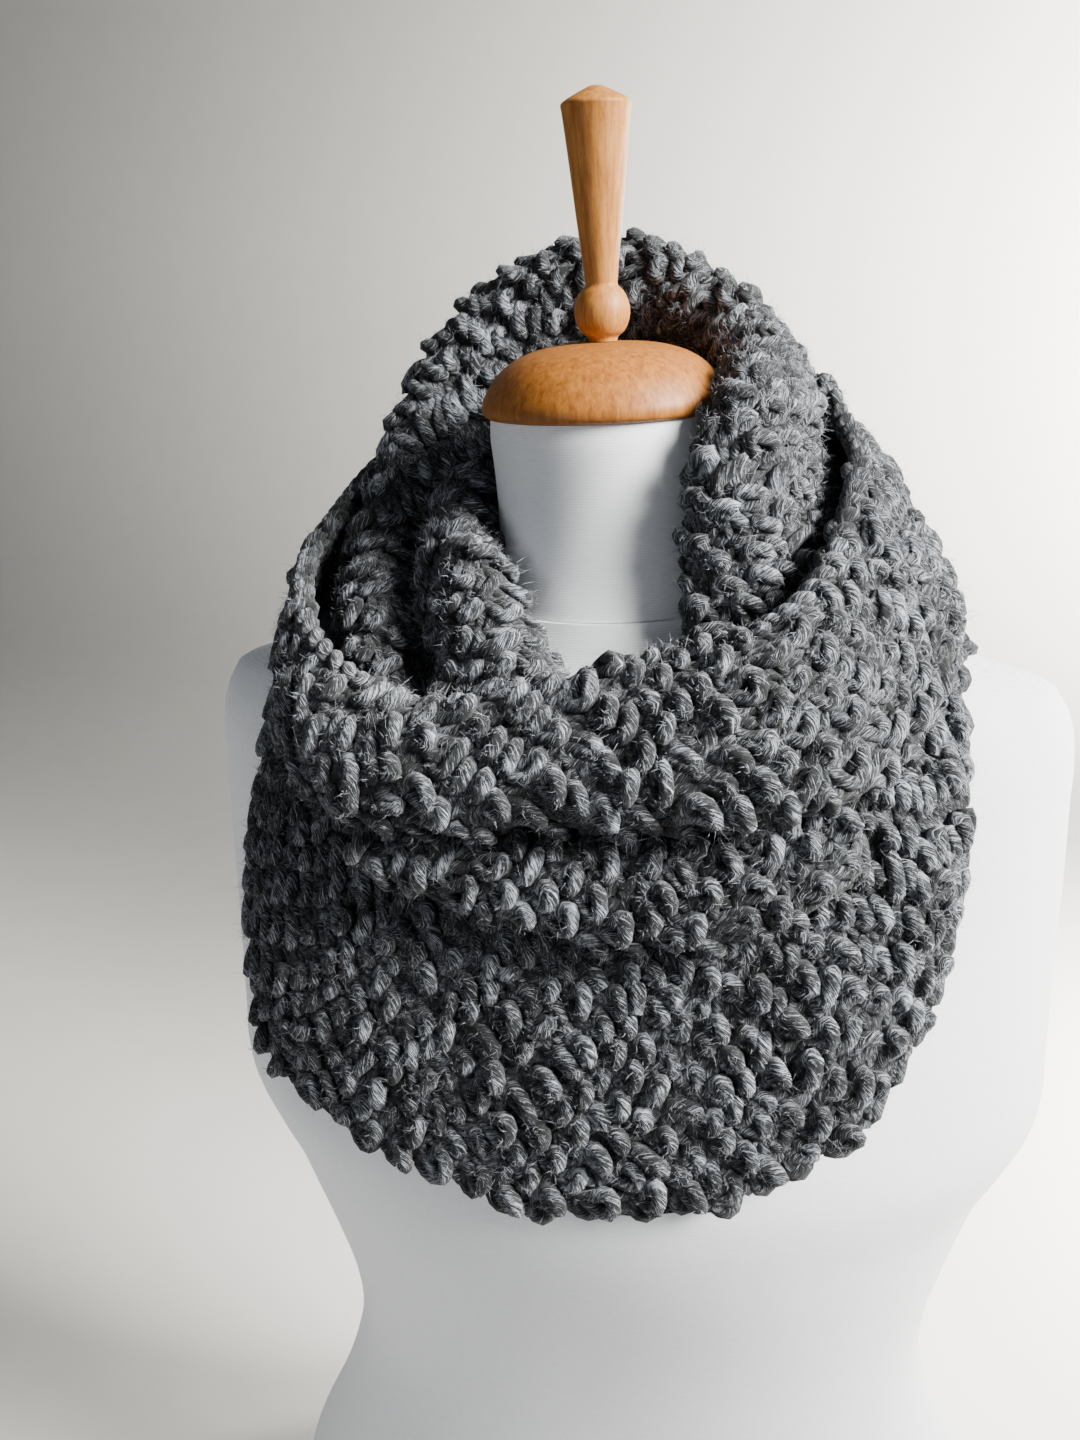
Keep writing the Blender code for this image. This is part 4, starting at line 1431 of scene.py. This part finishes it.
@dataclass
class DressForm:
    """The limbless form: a padded torso and neck under stretched jersey."""

    sides: int = 96
    step: float = 9.0             # height between the rings, in millimetres
    least_step: float = 2.0       # a ring nearer than this to the one below it is left out, in millimetres
    crease: float = 50.0          # edges sharper than this stay sharp, in degrees
    cover: CoverJersey = field(default_factory=CoverJersey)

    def body(self, name: str, levels: Sequence[Level]) -> bpy.types.Mesh:
        """Draws a ring up through the sections of a body, and closes it at both ends.

        Args:
            name: the mesh's name.
            levels: the sections, from the lowest up.

        Returns:
            The mesh.
        """
        heights = np.array([level.z for level in levels])
        count = max(2, round((heights[-1] - heights[0]) / self.step))
        targets = np.unique(np.concatenate([np.linspace(heights[0], heights[-1], count), heights]))
        keep = np.concatenate([[True], np.diff(targets) > self.least_step])
        keep[-1] = True
        rows = spline(heights, np.array([level[1:] for level in levels]), targets[keep])
        rings = [Level(z, *row) for z, row in zip(targets[keep], rows)]
        bm = bmesh.new()
        number = bm.verts.layers.int.new("number")
        circle = bmesh.ops.create_circle(bm, cap_ends=False, segments=self.sides, radius=1)
        for i, vert in enumerate(circle["verts"]):
            vert[number] = i
        edges = list(bm.edges)
        verts = circle["verts"]
        for k, ring in enumerate(rings):
            if k:
                grown = bmesh.ops.extrude_edge_only(bm, edges=edges)["geom"]
                verts = [part for part in grown if isinstance(part, bmesh.types.BMVert)]
                edges = [part for part in grown if isinstance(part, bmesh.types.BMEdge)]
            points = form_section(ring, self.sides)
            for vert in verts:
                vert.co = points[vert[number]]
        bmesh.ops.holes_fill(bm, edges=bm.edges, sides=0)
        bmesh.ops.recalc_face_normals(bm, faces=bm.faces)
        mesh = bpy.data.meshes.new(name)
        bm.to_mesh(mesh)
        bm.free()
        return mesh

    def build(self) -> tuple[Carrier, Carrier]:
        """Makes the torso and the neck.

        Returns:
            The two, as carriers for the scarf.
        """
        finish = self.cover.material()
        for name, node, levels in (("torso_cover", "form_torso", TORSO), ("neck_cover", "form_neck", NECK)):
            piece = show(name, self.body(name, levels), finish)
            piece.data.set_sharp_from_angle(angle=math.radians(self.crease))
            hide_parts(node)
            log.info("%s: %d faces", name, len(piece.data.polygons))
        return form_carrier(TORSO, TORSO_SIDES), form_carrier(NECK, TURNED_SIDES)


@dataclass
class NeckTurnings:
    """The turned wooden cap that closes the neck, and the finial on it."""

    sides: int = 96
    readings: int = 90            # points read along each outline
    crease: float = 45.0          # edges sharper than this stay sharp, in degrees
    weld: float = 0.00001         # points nearer than this are merged, in metres
    cap_wood: TurnedBeech = field(default_factory=lambda: TurnedBeech("waxed_beech_cap"))
    finial_wood: TurnedBeech = field(
        default_factory=lambda: TurnedBeech("waxed_beech_finial", "#BE8240", "#93591B"))

    def turned(self, name: str, outline: Sequence[Turned], foot: float) -> bpy.types.Mesh:
        """Spins an outline about the neck's axis.

        Args:
            name: the mesh's name.
            outline: the outline, top to bottom, in millimetres above the foot.
            foot: the height of the piece's foot, in metres.

        Returns:
            The mesh.
        """
        points = np.array(outline, float) * MM
        chords = np.sqrt(np.linalg.norm(np.diff(points, axis=0), axis=1))
        knots = np.concatenate([[0], np.cumsum(chords)])
        line = spline(knots, points, np.linspace(0, knots[-1], self.readings))
        line = np.concatenate([[(0, line[0, 1])], line, [(0, line[-1, 1])]])
        bm = bmesh.new()
        verts = [bm.verts.new((radius, 0, foot + height)) for radius, height in line]
        edges = [bm.edges.new(pair) for pair in zip(verts[:-1], verts[1:])]
        bmesh.ops.spin(bm, geom=verts + edges, cent=(0, 0, 0), axis=(0, 0, 1), dvec=(0, 0, 0),
                       angle=2 * math.pi, steps=self.sides, use_merge=True, use_duplicate=False)
        bmesh.ops.remove_doubles(bm, verts=bm.verts, dist=self.weld)
        bmesh.ops.recalc_face_normals(bm, faces=bm.faces)
        mesh = bpy.data.meshes.new(name)
        bm.to_mesh(mesh)
        bm.free()
        return mesh

    def build(self) -> Carrier:
        """Makes the cap and the finial.

        Returns:
            The cap, as a carrier for the scarf.
        """
        for name, node, outline, foot, wood in (
                ("turned_cap", "neck_cap", CAP, CAP_Z, self.cap_wood),
                ("turned_finial", "finial", FINIAL, CAP_Z + CAP_HEIGHT, self.finial_wood)):
            piece = show(name, self.turned(name, outline, foot), wood.material())
            piece.data.set_sharp_from_angle(angle=math.radians(self.crease))
            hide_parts(node)
            log.info("%s: %d faces", name, len(piece.data.polygons))
        rings = [Level(CAP_Z / MM + height, radius, radius, radius, 2) for radius, height in reversed(CAP)]
        return form_carrier(rings, TURNED_SIDES)


@dataclass(frozen=True)
class SoftLight:
    """A square soft light."""

    name: str
    place: tuple[float, float, float]   # where it hangs, metres
    aim: tuple[float, float, float]     # the point that it faces
    size: float                         # the length of its side, metres
    power: float                        # watts
    spread: float                       # the angle that it shines through, degrees
    colour: str = "#FFFDF8"


LIGHTS = (
    SoftLight("window", (1.08, -0.24, 1.2), (0.05, -0.15, 0.62), 0.7, 13, 41),
    SoftLight("room_bounce", (-0.5, -1.4, 0.42), (-0.05, -0.05, 0.42), 0.8, 0.45, 36, "#F6F8FF"),
    SoftLight("wall_wash", (2.0, 1.0, 1.0), (1.35, 2.3, 0.6), 0.9, 240, 100),
    SoftLight("floor_wash", (1.25, 0.6, 1.1), (0.65, 0.55, 0.0), 0.5, 36, 60),
)


@dataclass
class Studio:
    """The plain pale floor and wall, the soft window light and the camera."""

    wall_distance: float = 2.4    # from the form to the wall behind it, metres
    room: float = 3.5             # how far the floor and the wall run, metres
    cove: float = 0.9             # radius of the corner between them, metres
    cove_readings: int = 13       # points read round that corner
    camera_azimuth: float = 14.5  # towards the form's left from its front, degrees
    camera_distance: float = 0.59     # from the neck's axis, metres
    camera_height: float = 0.775      # above the form's foot, metres
    camera_turn: float = 3.45     # away from the axis, to the camera's left, degrees
    camera_pitch: float = 18.7    # down, degrees
    camera_roll: float = 2.8      # degrees
    lens: float = 32.5            # millimetres
    film: float = 36.0            # millimetres
    nearest: float = 0.01         # what the camera begins to see at, metres
    glow: str = "#DDE3EA"         # the room's own light
    glow_strength: float = 0.17
    paint: PaintedPlaster = field(default_factory=PaintedPlaster)

    def backdrop(self) -> None:
        """Draws the floor and the wall behind the form as one sheet with a rounded corner."""
        corner = np.radians(np.linspace(0, 90, self.cove_readings))
        profile = [(-self.room, 0.0), *((self.wall_distance - self.cove + self.cove * math.sin(angle),
                                         self.cove - self.cove * math.cos(angle)) for angle in corner),
                   (self.wall_distance, self.room)]
        bm = bmesh.new()
        verts = [bm.verts.new((-self.room, depth, height)) for depth, height in profile]
        edges = [bm.edges.new(pair) for pair in zip(verts[:-1], verts[1:])]
        grown = bmesh.ops.extrude_edge_only(bm, edges=edges)["geom"]
        bmesh.ops.translate(bm, vec=(2 * self.room, 0, 0),
                            verts=[part for part in grown if isinstance(part, bmesh.types.BMVert)])
        bmesh.ops.recalc_face_normals(bm, faces=bm.faces)
        mesh = bpy.data.meshes.new("floor")
        bm.to_mesh(mesh)
        bm.free()
        mesh.materials.append(self.paint.material())
        mesh.shade_smooth()
        floor = bpy.data.objects.new("floor", mesh)
        bpy.context.scene.collection.objects.link(floor)

    def hang(self, light: SoftLight) -> None:
        """Hangs a light.

        Args:
            light: the light.
        """
        lamp = bpy.data.lights.new(light.name, "AREA")
        lamp.size = light.size
        lamp.energy = light.power
        lamp.spread = math.radians(light.spread)
        lamp.color = linear(light.colour)[:3]
        holder = bpy.data.objects.new(light.name, lamp)
        turned = (Vector(light.aim) - Vector(light.place)).to_track_quat("-Z", "Y")
        holder.matrix_world = Matrix.Translation(light.place) @ turned.to_matrix().to_4x4()
        holder.visible_camera = False
        bpy.context.scene.collection.objects.link(holder)

    def camera(self) -> None:
        """Sets the camera close in front of the form, a little to its left and looking down."""
        azimuth = math.radians(self.camera_azimuth)
        turn = math.radians(self.camera_turn)
        pitch = math.radians(self.camera_pitch)
        roll = math.radians(self.camera_roll)
        heading = Matrix.Rotation(turn, 3, "Z") @ Vector((-math.sin(azimuth), math.cos(azimuth), 0))
        forward = heading * math.cos(pitch) - Vector((0, 0, math.sin(pitch)))
        right = forward.cross(Vector((0, 0, 1))).normalized()
        upward = right.cross(forward)
        tilted_right = right * math.cos(roll) - upward * math.sin(roll)
        tilted_up = right * math.sin(roll) + upward * math.cos(roll)
        frame_of_view = Matrix((tilted_right, tilted_up, -forward)).transposed().to_4x4()
        stand = Vector((self.camera_distance * math.sin(azimuth),
                        -self.camera_distance * math.cos(azimuth), self.camera_height))
        lens = bpy.data.cameras.new("camera")
        lens.sensor_width = self.film
        lens.sensor_fit = "AUTO"
        lens.lens = self.lens
        lens.clip_start = self.nearest
        holder = bpy.data.objects.new("camera", lens)
        holder.matrix_world = Matrix.Translation(stand) @ frame_of_view
        bpy.context.scene.collection.objects.link(holder)
        bpy.context.scene.camera = holder

    def build(self) -> None:
        """Sets the camera, the backdrop, the window light from the right and the room's fill."""
        self.camera()
        self.backdrop()
        for light in LIGHTS:
            self.hang(light)
        world = bpy.data.worlds.new("room")
        world.use_nodes = True
        world.node_tree.nodes.clear()
        glow = add_node(world.node_tree, "ShaderNodeBackground",
                        inputs={"Color": linear(self.glow), "Strength": self.glow_strength})
        add_node(world.node_tree, "ShaderNodeOutputWorld", inputs={"Surface": glow.outputs[0]})
        bpy.context.scene.world = world
        log.info("studio: camera, backdrop and lights")


def main() -> None:
    """Builds the form, its wooden top, the scarf and the studio."""
    logging.basicConfig(level=logging.INFO, format="%(name)s: %(message)s")
    Studio().build()
    torso, neck = DressForm().build()
    cap = NeckTurnings().build()
    InfinityScarf().build(torso, neck, cap)


if __name__ == "__main__":
    main()
